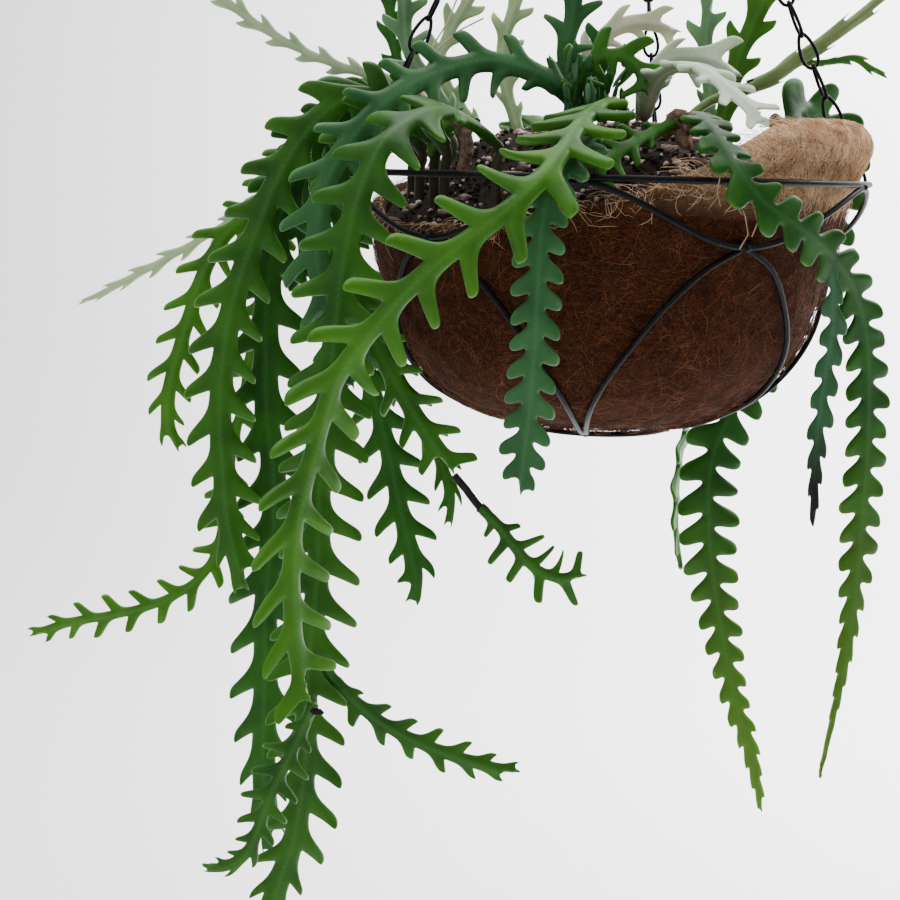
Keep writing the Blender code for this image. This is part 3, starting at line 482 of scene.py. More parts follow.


# The last tone is the top and the rolled lip: real dry fibre, raised near white as painted light from
# above.
felt = fibre_felt("coir_felt", (0.003, 0.0008, 0.0004), (0.017, 0.0035, 0.001), (0.150, 0.046, 0.016),
                  (0.94, 0.63, 0.39))
TURNS = 180
PARTS = 5
OUTER_SPANS = 11
INSIDE_FOOT = -6.0
BROAD_LUMP = 0.22
SMALL_LUMP = 0.07
DEEPEST = -0.3
PROUDEST = 0.12
DRY_AND_LIT_FROM = 2.2
DRY_AND_LIT_OVER = 2.4
points = []
faces = []
dry_and_lit = []
sections = []
for i in range(TURNS):
    azimuth = 360 * i / TURNS
    section = smooth_run([Vector((r, 0, z)) for r, z in coir_outline(azimuth)], PARTS)
    sections.append(section)
    _, roll = coir_edge(azimuth)
    for p in section:
        spot = compass(azimuth, p.x, p.z)
        lump = noise.fractal(spot * 0.35, 0.9, 2.1, 4) * BROAD_LUMP
        lump = max(DEEPEST, min(PROUDEST, lump + noise.noise(spot * 2.6) * SMALL_LUMP))
        outward = Vector((spot.x, spot.y, 0)).normalized()
        points.append(spot + outward * lump + Vector((0, 0, lump * 0.3)))
        # The top band and the rolled lip take the pale dry tone, partly dry fibre and partly painted
        # light from above.
        high = min(1.0, max(0.0, (p.z + DRY_AND_LIT_FROM) / DRY_AND_LIT_OVER))
        side = facing(azimuth, ROLL_AZIMUTH)
        dry_and_lit.append(min(1.0, roll * high * 1.3 + 0.1 * high * side + 0.03 * high))
steps = len(sections[0])
for i in range(TURNS):
    j = (i + 1) % TURNS
    for k in range(steps - 1):
        faces.append((i * steps + k, i * steps + k + 1, j * steps + k + 1, j * steps + k))
points.append(Vector((0, 0, COIR_PROFILE[-1][1])))
points.append(Vector((0, 0, INSIDE_FOOT)))
dry_and_lit += [0.0, 0.0]
for i in range(TURNS):
    j = (i + 1) % TURNS
    faces.append((i * steps, j * steps, len(points) - 2))
    faces.append((j * steps + steps - 1, i * steps + steps - 1, len(points) - 1))
liner = piece("coir_felt_bowl", points, faces, felt)
mark(liner, "dry_and_lit", dry_and_lit)
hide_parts("coir_liner")

STRAND_STEP = 0.34
WANDER = 0.22
LONGEST_DOWN = 26.0
EDGE_BAND = 0.9
ROLL_BAND = 5.0
ROLLED_SHARE = 0.75
ROLLED_SPREAD = 18
THIRD_TURN = 2.094
THIN_END = 0.4


def down_profile(azimuth):
    """The outside of one section of the coir from its edge to the centre of its base."""
    i = int(azimuth % 360 / 360 * TURNS)
    outer = [Vector((0.2, 0, COIR_PROFILE[-1][1])), *sections[i][:PARTS * OUTER_SPANS]]
    outer.reverse()
    return outer


def on_profile(profile, lengths, down):
    """The place at a length down a profile, and the way out of the coir there."""
    k = 0
    while k < len(lengths) - 2 and lengths[k + 1] < down:
        k += 1
    share = (down - lengths[k]) / max(lengths[k + 1] - lengths[k], 1e-6)
    slope = (profile[k + 1] - profile[k]).normalized()
    return profile[k].lerp(profile[k + 1], min(1.0, max(0.0, share))), Vector((-slope.z, 0, slope.x))


def add_strand(points, faces, path, thick):
    """Adds a three-sided fibre along a path, thinner at both ends."""
    start = len(points)
    for k, p in enumerate(path):
        run = path[min(k + 1, len(path) - 1)] - path[max(k - 1, 0)]
        side = run.cross(Vector((p.x, p.y, INSIDE_FOOT))).normalized()
        rise = run.cross(side).normalized()
        fat = thick * (THIN_END if k in (0, len(path) - 1) else 1.0)
        for corner in range(3):
            turn = THIRD_TURN * corner
            points.append(p + (side * math.cos(turn) + rise * math.sin(turn)) * fat)
    for k in range(len(path) - 1):
        for corner in range(3):
            a = start + k * 3 + corner
            b = start + k * 3 + (corner + 1) % 3
            faces.append((a, b, b + 3, a + 3))


def strands(name, many, seed, thick, finish, top_share=0.0, proud=0.12, long=7, curl=0.3):
    """Loose coconut fibres that wander over the outside of the coir. Top_share is how many of them lie
    on its edge, proud how far they stand off, long their steps, and curl how much they bend."""
    dice = random.Random(seed)
    points = []
    faces = []
    for _ in range(many):
        azimuth = dice.uniform(0, 360)
        if top_share and dice.random() < ROLLED_SHARE:
            azimuth = dice.gauss(ROLL_AZIMUTH, ROLLED_SPREAD)
        profile = down_profile(azimuth)
        lengths = [0.0]
        for a, b in zip(profile, profile[1:]):
            lengths.append(lengths[-1] + (b - a).length)
        down = dice.random() ** 0.9 * LONGEST_DOWN
        if dice.random() < top_share:
            down = dice.uniform(0.0, EDGE_BAND + ROLL_BAND * coir_edge(azimuth)[1])
        heading = dice.uniform(0, 2 * math.pi)
        bend = dice.gauss(0, curl)
        path = []
        steps_here = dice.randint(long - 3, long + 2)
        lift = dice.uniform(0.02, proud)
        for k in range(steps_here):
            spot, outward = on_profile(profile, lengths, down)
            off = lift * (0.5 + math.sin(math.pi * k / max(steps_here - 1, 1))) + 0.02
            spot = spot + outward * off
            path.append(compass(azimuth, spot.x, spot.z))
            down += math.sin(heading) * STRAND_STEP
            azimuth += math.degrees(math.cos(heading) * STRAND_STEP / max(spot.x, 2.0))
            heading += bend + dice.gauss(0, WANDER)
        add_strand(points, faces, path, thick)
    piece(name, points, faces, finish)


def fibre(name, dark, light):
    """One tone of coconut fibre, a little lighter and darker along its length."""
    made, shader, place = new_finish(name)
    feed(made, shader, {
        "Base Color": two_tones(made, clouds(made, place, 90.0, 3.0), 0.35, dark, 0.65, light),
        "Roughness": 0.7, "Specular IOR Level": 0.12})
    return made


fibre_dark = fibre("fibre_dark", (0.012, 0.003, 0.001), (0.050, 0.011, 0.003))
fibre_warm = fibre("fibre_warm", (0.040, 0.010, 0.003), (0.15, 0.044, 0.015))
fibre_light = fibre("fibre_light", (0.10, 0.034, 0.013), (0.27, 0.11, 0.048))
# Pale fibres for the edge and the roll: partly dry fibre and partly painted light from above.
fibre_dry_and_lit = fibre("fibre_dry_and_lit", (0.56, 0.33, 0.17), (0.95, 0.70, 0.45))
strands("coir_dark_fibres", 3300, 11, 0.016, fibre_dark)
strands("coir_warm_fibres", 4700, 12, 0.013, fibre_warm, curl=0.18, proud=0.2)
strands("coir_light_fibres", 2000, 15, 0.013, fibre_light, curl=0.14, proud=0.26, long=9)
strands("coir_dry_and_lit_fibres", 3000, 13, 0.014, fibre_dry_and_lit, top_share=1.0, proud=0.26)

# Soil: dark moist peat, mounded in the middle, that sinks to the coir where its edge dips. Crumbs,
# bark chips and white perlite lie loose on top of it.
SOIL_EDGE = -0.7
SOIL_MOUND = 4.2
SOIL_RADIUS = 14.9
SOIL_UNDER = -5.0
SCATTER_REACH = 0.97
CRUMBS = 2200
CHIPS = 640
SMALL_CHIPS = 0.75
PERLITE = 170


def soil_top(x, y):
    """The mound's height, which the stems stand on."""
    share = math.hypot(x, y) / SOIL_RADIUS
    return SOIL_EDGE + SOIL_MOUND * (1 - share * share) + 0.25 * math.sin(x * 0.7) * math.cos(y * 0.6)


def soil_surface(x, y):
    """The soil's real top, which slopes down to the coir where its edge dips."""
    edge, _ = coir_edge(math.degrees(math.atan2(x, y)))
    return min(soil_top(x, y), edge - 0.5 + 0.85 * (SOIL_RADIUS - math.hypot(x, y)))


def earth(name, dark, light, scale, rough=0.95):
    """Crumbly earth, bark or felt in two tones."""
    made, shader, place = new_finish(name)
    grain = clouds(made, place, scale, 7.0, 0.65)
    feed(made, shader, {
        "Base Color": two_tones(made, grain, 0.38, dark, 0.68, light),
        "Normal": bumped(made, grain, 0.8, 0.001),
        "Roughness": rough, "Specular IOR Level": 0.25})
    return made


peat = earth("peat", (0.006, 0.0035, 0.0025), (0.032, 0.018, 0.012), 220.0)
ROUNDS = 96
LEVELS = 34
points = [Vector((0, 0, soil_top(0, 0)))]
faces = []
for k in range(1, LEVELS + 1):
    radius = SOIL_RADIUS * k / LEVELS
    for i in range(ROUNDS):
        spot = compass(360 * i / ROUNDS, radius, 0)
        rough = noise.fractal(spot * 0.9, 0.8, 2.2, 4) * 0.22
        points.append(Vector((spot.x, spot.y, soil_surface(spot.x, spot.y) + rough - 0.08)))
for i in range(ROUNDS):
    points.append(compass(360 * i / ROUNDS, SOIL_RADIUS - 0.8, SOIL_UNDER))
points.append(Vector((0, 0, SOIL_UNDER)))
for i in range(ROUNDS):
    j = (i + 1) % ROUNDS
    faces.append((0, 1 + j, 1 + i))
    for k in range(LEVELS):
        a = 1 + k * ROUNDS
        faces.append((a + i, a + j, a + ROUNDS + j, a + ROUNDS + i))
    last_ring = 1 + LEVELS * ROUNDS
    faces.append((last_ring + i, last_ring + j, len(points) - 1))
mound = piece("soil_mound", points, faces, peat)
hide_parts("soil")


def on_soil(dice):
    """A random place on the soil's top."""
    radius = SOIL_RADIUS * SCATTER_REACH * math.sqrt(dice.random())
    spot = compass(dice.uniform(0, 360), radius, 0)
    return Vector((spot.x, spot.y, soil_surface(spot.x, spot.y)))


dice = random.Random(5)
crumbs = []
for _ in range(CRUMBS):
    size = dice.uniform(0.08, 0.26)
    crumbs.append((on_soil(dice) + Vector((0, 0, size * 0.3)), (size, size * 0.8, size * 0.6), 0.3))
scatter("soil_crumbs", crumbs, peat, seed=6)
bark = earth("bark_chips", (0.20, 0.115, 0.095), (0.80, 0.63, 0.58), 110.0, 0.85)
chips = []
for _ in range(CHIPS):
    size = dice.uniform(0.12, 0.34) if dice.random() < SMALL_CHIPS else dice.uniform(0.34, 0.8)
    wide = size * dice.uniform(0.25, 0.5)
    chips.append((on_soil(dice) + Vector((0, 0, 0.16)), (size, wide, 0.08 + wide * 0.5), 0.4))
scatter("bark_chips", chips, bark, seed=7)
perlite = earth("perlite", (0.5, 0.47, 0.42), (0.8, 0.78, 0.74), 300.0, 0.9)
grains = []
for _ in range(PERLITE):
    size = dice.uniform(0.07, 0.15)
    grains.append((on_soil(dice) + Vector((0, 0, size * 0.7)), (size, size, size * 0.85), 0.22))
scatter("perlite_grains", grains, perlite, seed=8)

# Old wood: a brown woody stem that arches out of the soil, the fibrous stub that the right front
# stem grew from, and thin tan air roots that hang from that stem.
old_bark = earth("old_bark", (0.085, 0.045, 0.032), (0.34, 0.22, 0.16), 260.0, 0.9)
arch = smooth_run([
    (-14.4, -7.6, 4.2), (-13.2, -8, 4.7), (-11.7, -8, 4.0), (-10.1, -8, 3.2), (-9.5, -8, 1.8),
    (-9.8, -8, 0.2)], 6)
old_wood = rods("old_woody_stem", [(arch, False)], 0.42, old_bark)
stub_lumps = [
    (Vector((3.3, -11.0, 3.7)), (0.75, 0.7, 0.6), 0.2),
    (Vector((4.1, -11.5, 3.4)), (0.7, 0.7, 0.65), 0.2),
    (Vector((2.8, -10.8, 3.1)), (0.5, 0.5, 0.8), 0.25),
    (Vector((3.6, -11.0, 2.6)), (0.5, 0.5, 0.9), 0.2)]
for spot in arch[6::5]:
    stub_lumps.append((spot, (0.5, 0.5, 0.45), 0.15))
stub = scatter("old_stub_and_knots", stub_lumps, old_bark, smooth=True, fine=True, seed=21)
root_tan = fibre("root_tan", (0.30, 0.19, 0.11), (0.60, 0.44, 0.28))
air_roots = rods("air_roots", [
    ([(5.6, -19.3, -0.9), (6.0, -19.8, -1.9), (6.2, -19.9, -2.9), (5.8, -19.8, -3.7)], False),
    ([(6.4, -19.5, -1.1), (6.7, -19.9, -2.2), (6.4, -20.0, -3.0)], False),
    ([(4.7, -18.6, 0.4), (4.5, -19.0, -0.6), (4.7, -19.2, -1.4)], False)], 0.035, root_tan)

# Stems: flat fleshy stems cut into lobes nearly to the midrib, in turn on the left and the right.
# Each is swollen, with round edges, a raised midrib, and tips that turn yellow-green. A lobe's shape
# is a list of shares of the way along its pitch and of the way out from the midrib.
STALK_HALF = 0.34
STALK_HEART = 0.28
EDGE_ROUND = 0.42
HOLE_DEPTH = 3.4
ROOT_LENGTH = 2.0
FIRST_LOBE = 0.6
SWING = 0.05
SHORTEST = 0.9
LONGEST = 1.04
ROUTE_STEP = 0.3
RIB_HALF = 0.13
EDGE_RINGS = ((0.05, 0.04), (0.14, 0.12))
LATTICE_GAP = 0.22
WIDE_STEM = 1.7
WIDE_GRID = 0.24
SLIM_GRID = 0.2
WAVES = 2.1
WAVE_SHIFT = 1.3
EDGE_WAVE = 0.12
PLUMP = 0.42
AREOLE = 0.085
CORK = (0.040, 0.028, 0.016)
FINGER = [
    (0.0, 0.0), (0.26, 0.0), (0.44, 0.04), (0.56, 0.13), (0.65, 0.30), (0.73, 0.55), (0.80, 0.78),
    (0.86, 0.93), (0.93, 1.0), (1.02, 0.995), (1.085, 0.93), (1.085, 0.78), (1.055, 0.55), (1.02, 0.30),
    (0.995, 0.12), (0.985, 0.03)]
TOOTH = [
    (0.0, 0.0), (0.18, 0.01), (0.34, 0.06), (0.48, 0.19), (0.59, 0.39), (0.69, 0.64), (0.78, 0.85),
    (0.86, 0.96), (0.945, 1.0), (1.025, 0.975), (1.06, 0.89), (1.05, 0.72), (1.02, 0.48), (1.0, 0.24),
    (0.985, 0.07)]
KNOB = [
    (0.05, 0.0), (0.19, 0.11), (0.33, 0.38), (0.47, 0.73), (0.61, 0.94), (0.77, 1.02), (0.92, 0.98),
    (1.015, 0.82), (1.03, 0.56), (1.0, 0.28), (0.985, 0.09)]
ROUND_LOBE = [
    (0.04, 0.0), (0.15, 0.10), (0.29, 0.40), (0.42, 0.74), (0.55, 0.96), (0.69, 1.02), (0.83, 0.99),
    (0.93, 0.84), (0.965, 0.58), (0.965, 0.30), (0.98, 0.10)]
BACK = (0, 1, 0)
FRONT = (0, -1, 0)
UP = (0, 0, 1)


def lobed_side(length, bare, pitch, half, notch, fade, shape, first, dice, thin, lean, slim):
    """One side of a stem's outline, as distances along and out, and its sinuses."""
    side = [(s, STALK_HALF) for s in np.arange(0.0, max(bare - 0.8, 0.3), 0.7)]
    s = bare + first * pitch
    side.append((s - 0.25 * pitch * first - 0.12, max(STALK_HALF, min(notch, half * 0.5) * 0.8)))
    number = 0
    sinuses = []
    while s + pitch < length - 0.3:
        grow = min(1.0, number / 2 + FIRST_LOBE)
        left = (length - s - pitch * 0.5) / pitch
        shrink = min(1.0, (left + 0.8) / (fade + 0.8))
        along = s / length
        reach = half * grow * shrink ** thin * (1 - slim * along)
        slant = lean * min(1.0, 1.4 * along, max(0.0, left - 0.3) / 1.5)
        step = pitch * (0.7 + 0.3 * min(grow, shrink))
        wide = max(min(notch, reach * 0.8), 0.16)
        swing = dice.uniform(-SWING, SWING)
        longer = dice.uniform(SHORTEST, LONGEST)
        sinuses.append((s, wide, shrink))
        for u, v in shape:
            shift = (swing * 0.8 + slant) * v
            side.append((s + step * (u + shift), wide + (reach - wide) * v * longer))
        s += step
        number += 1
    side.append((s + 0.05, 0.17))
    return side, sinuses


def leaf_finish(name, deep, fresh, tip, gloss=0.36, late=0.0):
    """Waxy succulent skin: deeper near the midrib, fresher to the lobes, yellow-green at their tips.
    Late is how far the stem's last length turns to the tip's tone. The foot is corky and brown."""
    made, shader, place = new_finish(name)
    cloud = clouds(made, place, 34.0, 5.0)
    reach = marked(made, "reach")
    young = marked(made, "young")
    freshness = maths(made, "MULTIPLY_ADD", reach, 0.22, cloud)
    freshness = maths(made, "MULTIPLY_ADD", young, 0.26, freshness)
    skin = two_tones(made, freshness, 0.50, deep, 0.88, fresh)
    at_tips = ranged(made, reach, 0.0, 1.0, 0.88, 1.16, interpolation_type="SMOOTHSTEP")
    skin = mixed(made, at_tips, skin, tip)
    rib_tone = (fresh[0] * 1.5 + 0.02, fresh[1] * 1.35 + 0.03, fresh[2] * 1.5 + 0.03)
    skin = mixed(made, maths(made, "MULTIPLY", marked(made, "rib"), 0.45), skin, rib_tone)
    skin = mixed(made, ranged(made, young, 0.0, late, 0.6, 1.0), skin, tip)
    skin = mixed(made, marked(made, "foot"), skin, CORK)
    pores = bumped(made, clouds(made, place, 700.0, 3.0), 0.18, 0.0004)
    feed(made, shader, {
        "Base Color": skin,
        "Roughness": ranged(made, cloud, gloss, gloss + 0.22),
        "Normal": bumped(made, cloud, 0.35, 0.004, pores),
        "Subsurface Weight": 0.18, "Subsurface Radius": (0.5, 1.0, 0.2), "Subsurface Scale": 0.004,
        "Specular IOR Level": 0.24})
    return made


def path_of(route, step):
    """Places about one step apart on a smooth curve through the route, and their route indexes."""
    dense = smooth_run(route, 12)
    marks = np.arange(len(dense)) / 12
    places = np.array([tuple(p) for p in dense])
    total = np.concatenate([[0.0], np.cumsum(np.linalg.norm(np.diff(places, axis=0), axis=1))])
    count = max(2, round(total[-1] / step))
    want = np.linspace(0, total[-1], count + 1)
    found = np.stack([np.interp(want, total, places[:, k]) for k in range(3)], axis=1)
    return found, np.interp(want, total, marks), total[-1]


def unit(rows):
    return rows / np.linalg.norm(rows, axis=1, keepdims=True)


areole_spots = []


def stem_frames(route, face):
    """Even places on a stem's route, the step between them, its length, and the ways that it runs,
    looks and spreads at each."""
    found, marks, length = path_of(route, ROUTE_STEP)
    chords = [found[1:2] - found[:1], found[2:] - found[:-2], found[-1:] - found[-2:-1]]
    run = unit(np.concatenate(chords))
    keys = [place for place, _ in face]
    ways = unit(np.array([way for _, way in face], float))
    out = np.stack([np.interp(marks, keys, ways[:, k]) for k in range(3)], axis=1)
    out = unit(out - run * np.sum(run * out, axis=1, keepdims=True))
    return found, length / (len(found) - 1), length, run, out, np.cross(run, out)


def inside_and_gap(border, places):
    """Which places lie inside the outline, and how far each is from it."""
    nexts = np.roll(border, -1, axis=0)
    inside = np.zeros(len(places), bool)
    for a, b in zip(border, nexts):
        if a[1] == b[1]:
            continue
        spans = (a[1] > places[:, 1]) != (b[1] > places[:, 1])
        cross = a[0] + (places[:, 1] - a[1]) * (b[0] - a[0]) / (b[1] - a[1])
        inside ^= spans & (places[:, 0] < cross)
    gap = np.full(len(places), 99.0)
    for start in range(0, len(border), 64):
        some = border[start:start + 64]
        edge = nexts[start:start + 64] - some
        size = np.maximum(np.sum(edge * edge, axis=1), 1e-9)
        share = np.clip(np.sum((places[:, None] - some) * edge, axis=2) / size, 0, 1)
        near = some + edge * share[:, :, None]
        gap = np.minimum(gap, np.linalg.norm(places[:, None] - near, axis=2).min(axis=1))
    return inside, gap


def outline_net(border, tip, half):
    """Points and triangles that fill an outline, with rings of points near its edge and a lattice
    inside, how deep inside each point lies, and which points are on the outline."""
    inward = np.roll(border, -1, axis=0) - np.roll(border, 1, axis=0)
    inward = unit(np.stack([inward[:, 1], -inward[:, 0]], axis=1) + 1e-9)
    fills = [(border + inward * offset * hand, least)
             for offset, least in EDGE_RINGS for hand in (1, -1)]
    grid = WIDE_GRID if half > WIDE_STEM else SLIM_GRID
    lattice = []
    for k, s in enumerate(np.arange(0.0, tip, grid * 0.87)):
        ts = np.arange(-half * 1.1 + (k % 2) * grid / 2, half * 1.1, grid)
        lattice.append(np.stack([np.full(len(ts), s), ts], axis=1))
    fills.append((np.concatenate(lattice), LATTICE_GAP))
    kept = [border]
    gaps = [np.zeros(len(border))]
    for places, least in fills:
        inside, gap = inside_and_gap(border, places)
        good = inside & (gap > least)
        kept.append(places[good])
        gaps.append(gap[good])
    spots = [Vector(p) for p in np.concatenate(kept).tolist()]
    net = delaunay_2d_cdt(spots, [], [list(range(len(border)))], 1, 1e-6)
    depth = np.concatenate(gaps)[[k[0] if k else 0 for k in net[3]]]
    on_edge = np.array([len(k) > 0 and k[0] < len(border) for k in net[3]])
    return np.array([tuple(p) for p in net[0]]), net[2], depth, on_edge


def fleshy(name, nodes_replaced, route, face, finish, half, notch, pitch, bare, core=0.5, fade=3.0,
           shape=FINGER, slot="stem_mid", thin=1.0, foot_length=0.0, lean=0.12, slim=0.0):
    """A lobed stem. Face gives the direction that its flat side looks to, from a route point on.
    Half and notch are its half width over a lobe and in a sinus, pitch the lobes' spacing, bare the
    length without lobes, core the midrib's thickness, fade how many lobes shrink at its end, lean
    the lobes' slant, and thin and slim how soon and how far it narrows."""
    dice = random.Random(name)
    found, step, length, run, out, wide = stem_frames(route, face)
    (right, right_sinuses), (left, left_sinuses) = [
        lobed_side(length, bare, pitch, half, notch, fade, shape, first, dice, thin, lean, slim)
        for first in (0.0, 0.5)]
    tip = max(right[-1][0], left[-1][0]) + 0.3
    corners = [(s, t, 0) for s, t in right] + [(tip, 0.0, 0)] + [(s, -t, 0) for s, t in reversed(left)]
    border = smooth_run(corners, 3 if pitch > 2.4 else 2, closed=True)
    border = np.array([(p.x, p.y) for p in border])
    flat, triangles, depth, on_edge = outline_net(border, tip, half)
    s, t = flat[:, 0], flat[:, 1]

    where = np.clip(s / step, 0.0, len(found) - 1.000001)
    i = where.astype(int)
    share = (where - i)[:, None]
    centre = found[i] * (1 - share) + found[i + 1] * share
    past = np.maximum(0.0, s - (len(found) - 1) * step)[:, None]
    centre = centre + run[-1] * past
    across = unit(wide[i] * (1 - share) + wide[i + 1] * share)
    normal = unit(out[i] * (1 - share) + out[i + 1] * share)
    part = np.abs(t) / half
    ripple = EDGE_WAVE * np.sin(s * WAVES + np.where(t > 0, WAVE_SHIFT, 0.0))
    ripple = ripple * np.minimum(1.0, part) * np.abs(t)
    ripple -= 0.16 * half * 0.2 * part ** 2
    small = np.clip((tip - s) / (2.5 * pitch), 0.35, 1.0)
    round_off = EDGE_ROUND * np.clip(half / 2.4, 0.5, 1.2) * small
    swollen = np.sqrt(np.maximum(0.0, 1 - (1 - np.minimum(depth / round_off, 1.0)) ** 2))
    blade = PLUMP * core * small * swollen
    heart = np.maximum(core * 0.5 - blade, 0.0) * np.exp(-(t / (0.24 + 0.05 * half)) ** 2) * swollen
    lift = blade + heart
    stalk = STALK_HEART * np.sqrt(np.maximum(0.0, 1 - np.minimum(np.abs(t) / STALK_HALF, 1.0) ** 2))
    on_stalk = np.clip((bare - 0.2 - s) / 1.4, 0, 1)
    lift = lift * (1 - on_stalk) + stalk * on_stalk
    lift[on_edge] = 0.0
    front = centre + across * t[:, None] + normal * (lift + ripple)[:, None]
    behind = centre + across * t[:, None] + normal * (ripple - lift)[:, None]
    index = np.arange(len(flat))
    second = np.where(on_edge, index, index + len(flat))
    faces = [tuple(tri) for tri in triangles]
    faces += [tuple(int(second[k]) for k in reversed(tri)) for tri in triangles]
    points = [Vector(p) for p in front.tolist() + behind.tolist()]
    made = piece(name, points, faces, finish)
    mark(made, "reach", np.tile(np.where(s > bare, part, 0.2), 2))
    mark(made, "young", np.tile(s / tip, 2))
    mark(made, "rib", np.tile(np.exp(-(t / RIB_HALF) ** 2), 2))
    mark(made, "foot", np.tile(0.9 * np.clip((foot_length - s) / 1.5, 0, 1), 2))
    tidy_mesh(made.data)
    if nodes_replaced:
        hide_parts(*nodes_replaced)
    for hand, sinuses in ((1, right_sinuses), (-1, left_sinuses)):
        for s_here, wide_here, size in sinuses[1:]:
            k = min(int(s_here / step), len(found) - 1)
            spot = found[k] + wide[k] * hand * (wide_here - 0.03)
            size = AREOLE * (0.5 + 0.5 * size)
            areole_spots.append((Vector(spot.tolist()), (size, size, size), 0.2))


def tidy_mesh(mesh):
    """Drops the points that no face uses."""
    work = bmesh.new()
    work.from_mesh(mesh)
    loose = [v for v in work.verts if not v.link_faces]
    bmesh.ops.delete(work, geom=loose, context="VERTS")
    bmesh.ops.recalc_face_normals(work, faces=work.faces)
    work.to_mesh(mesh)
    work.free()


def stem(name, base, route, finish, face=((0, FRONT),), node=None, bare=3.0, **shape):
    """A stem that stands in the soil at the base, or that branches off where its route begins. A
    route's point is its x, depth and height. One of two numbers has the depth of the point before."""
    points = []
    if base:
        x, y = base
        z = soil_top(x, y)
        points = [(x, y, z - HOLE_DEPTH + SEAT), (x, y, z - 1.4), (x, y, z + 0.2), (x, y, z + 1.3)]
        face = [(place + 1 if place else 0, way) for place, way in face]
        bare += ROOT_LENGTH
        shape["foot_length"] = HOLE_DEPTH + 2.6
    for spot in route:
        points.append(spot if len(spot) == 3 else (spot[0], points[-1][1], spot[1]))
    stands_for = [] if node == "none" else [node or name]
    fleshy(name + "_flesh", stands_for, points, face, finish, bare=bare, **shape)


deep_green = leaf_finish(
    "deep_green", (0.004, 0.048, 0.0005), (0.016, 0.115, 0.001), (0.10, 0.27, 0.005))
mid_green = leaf_finish("mid_green", (0.010, 0.070, 0.001), (0.032, 0.145, 0.003), (0.15, 0.30, 0.01))
fresh_green = leaf_finish(
    "fresh_green", (0.020, 0.100, 0.002), (0.058, 0.205, 0.006), (0.24, 0.34, 0.015))
blue_green = leaf_finish("blue_green", (0.010, 0.070, 0.015), (0.036, 0.140, 0.038), (0.10, 0.26, 0.06))
grey_green = leaf_finish(
    "grey_green", (0.055, 0.150, 0.060), (0.160, 0.290, 0.150), (0.34, 0.47, 0.27), 0.5)
silver_green = leaf_finish(
    "silver_green", (0.320, 0.450, 0.290), (0.560, 0.660, 0.500), (0.66, 0.72, 0.56), 0.5)
pale_green = leaf_finish(
    "pale_green", (0.230, 0.380, 0.180), (0.450, 0.560, 0.330), (0.60, 0.64, 0.36), 0.5)
smooth_stalk = leaf_finish(
    "smooth_stalk", (0.075, 0.135, 0.032), (0.170, 0.230, 0.080), (0.14, 0.26, 0.04), 0.4)
dark_shoot = leaf_finish(
    "dark_shoot", (0.018, 0.080, 0.028), (0.035, 0.120, 0.045), (0.006, 0.006, 0.005), late=1.6)
turning_green = leaf_finish(
    "turning_green", (0.003, 0.042, 0.001), (0.014, 0.105, 0.002), (0.12, 0.26, 0.008), late=0.7)
dry_beige = leaf_finish(
    "dry_beige", (0.420, 0.380, 0.270), (0.700, 0.660, 0.520), (0.74, 0.70, 0.55), 0.7)
dead_flesh = earth("dead_flesh", (0.004, 0.004, 0.003), (0.020, 0.016, 0.012), 300.0, 0.7)

# Front stems: the long one arches over the rim and hangs at the left, and the short blue-green one
# drops over the middle of the basket.
stem("stem_front_long", (0.8, -4.0), [
    (-0.6, -8.5, 4.6), (-2.6, -14, 3.4), (-4.3, -19, 1.3), (-6, -21.3, -0.7), (-8.1, -22, -2.5),
    (-10.5, -22.5, -4.3), (-12.6, -6.2), (-14.8, -22.2, -8.8), (-16.5, -21.8, -11.3),
    (-17.4, -21.5, -14.1), (-18.1, -16.7), (-18.8, -19.7), (-19, -22.6), (-18.9, -25.6),
    (-18.5, -28.4), (-17.6, -31.2)],
    fresh_green, face=[(0, BACK), (2, BACK), (4, UP), (6, (0, -1, 0.5)), (8, FRONT),
    (10, (0.3, -1, 0)), (12, (0.7, -1, 0))], slot="stem_fresh", half=3.3, notch=0.55, pitch=3.05,
    core=0.8, bare=6.0, fade=0.6, lean=0.29, slim=0.28)
stem("stem_front_centre", (-1.6, -9.5), [
    (-2.2, -13.5, 2.2), (-3.4, -17.4, 0.95), (-4.8, -19.3, -0.7), (-5.3, -19.6, -2.7),
    (-5.4, -19.5, -5.8), (-5.4, -19.2, -8.7), (-5.5, -18.8, -11.7), (-5.6, -18.4, -14),
    (-5.8, -18.2, -16.4), (-5.9, -18, -18.9)],
    blue_green, face=[(0, BACK), (2, BACK), (4, UP), (6, FRONT)], slot="stem_blue", half=1.5,
    notch=0.48, pitch=1.6, core=0.55, bare=6.0, fade=2, shape=KNOB)

# Stems of the left side, from the front layer to the back one. The far one hangs behind the long
# front stem and has a side shoot.
stem("stem_left_far_down", (-7.7, -10.3), [
    (-11, -13.4, 3.6), (-14, -15.6, 2), (-15.6, -16.4, -1), (-16.5, -16.6, -4.8), (-17, -8.7),
    (-17.3, -12.2), (-17.6, -15.9), (-17.9, -19.3), (-17.9, -22.9), (-18.1, -25.9), (-18.4, -29.2),
    (-18.6, -32.4), (-18.6, -36), (-18.9, -38.9), (-19.4, -41.8), (-20.3, -44.6), (-21.1, -47.2),
    (-21.8, -49.6)],
    mid_green, face=[(0, (1, 1, 0)), (2, (0.7, 0.4, 0.2)), (4, (0, -0.6, 1)), (6, FRONT)], half=2.8,
    notch=0.7, pitch=2.6, core=0.7, bare=4.0, fade=4, lean=0.2, slim=0.1, shape=TOOTH)
stem("side_shoot", None, [
    (-18.3, -16.6, -28.2), (-17.6, -16.2, -30), (-16.2, -15.8, -32), (-14.2, -15.6, -33.8),
    (-12.4, -15.5, -34.9), (-10.4, -15.4, -35.8), (-8.4, -15.3, -36.5), (-6.3, -15.2, -37.1),
    (-4.1, -15.1, -37.3)],
    mid_green, node="stem_left_far_down", half=1.35, notch=0.42, pitch=2.0, bare=2.4, shape=TOOTH)
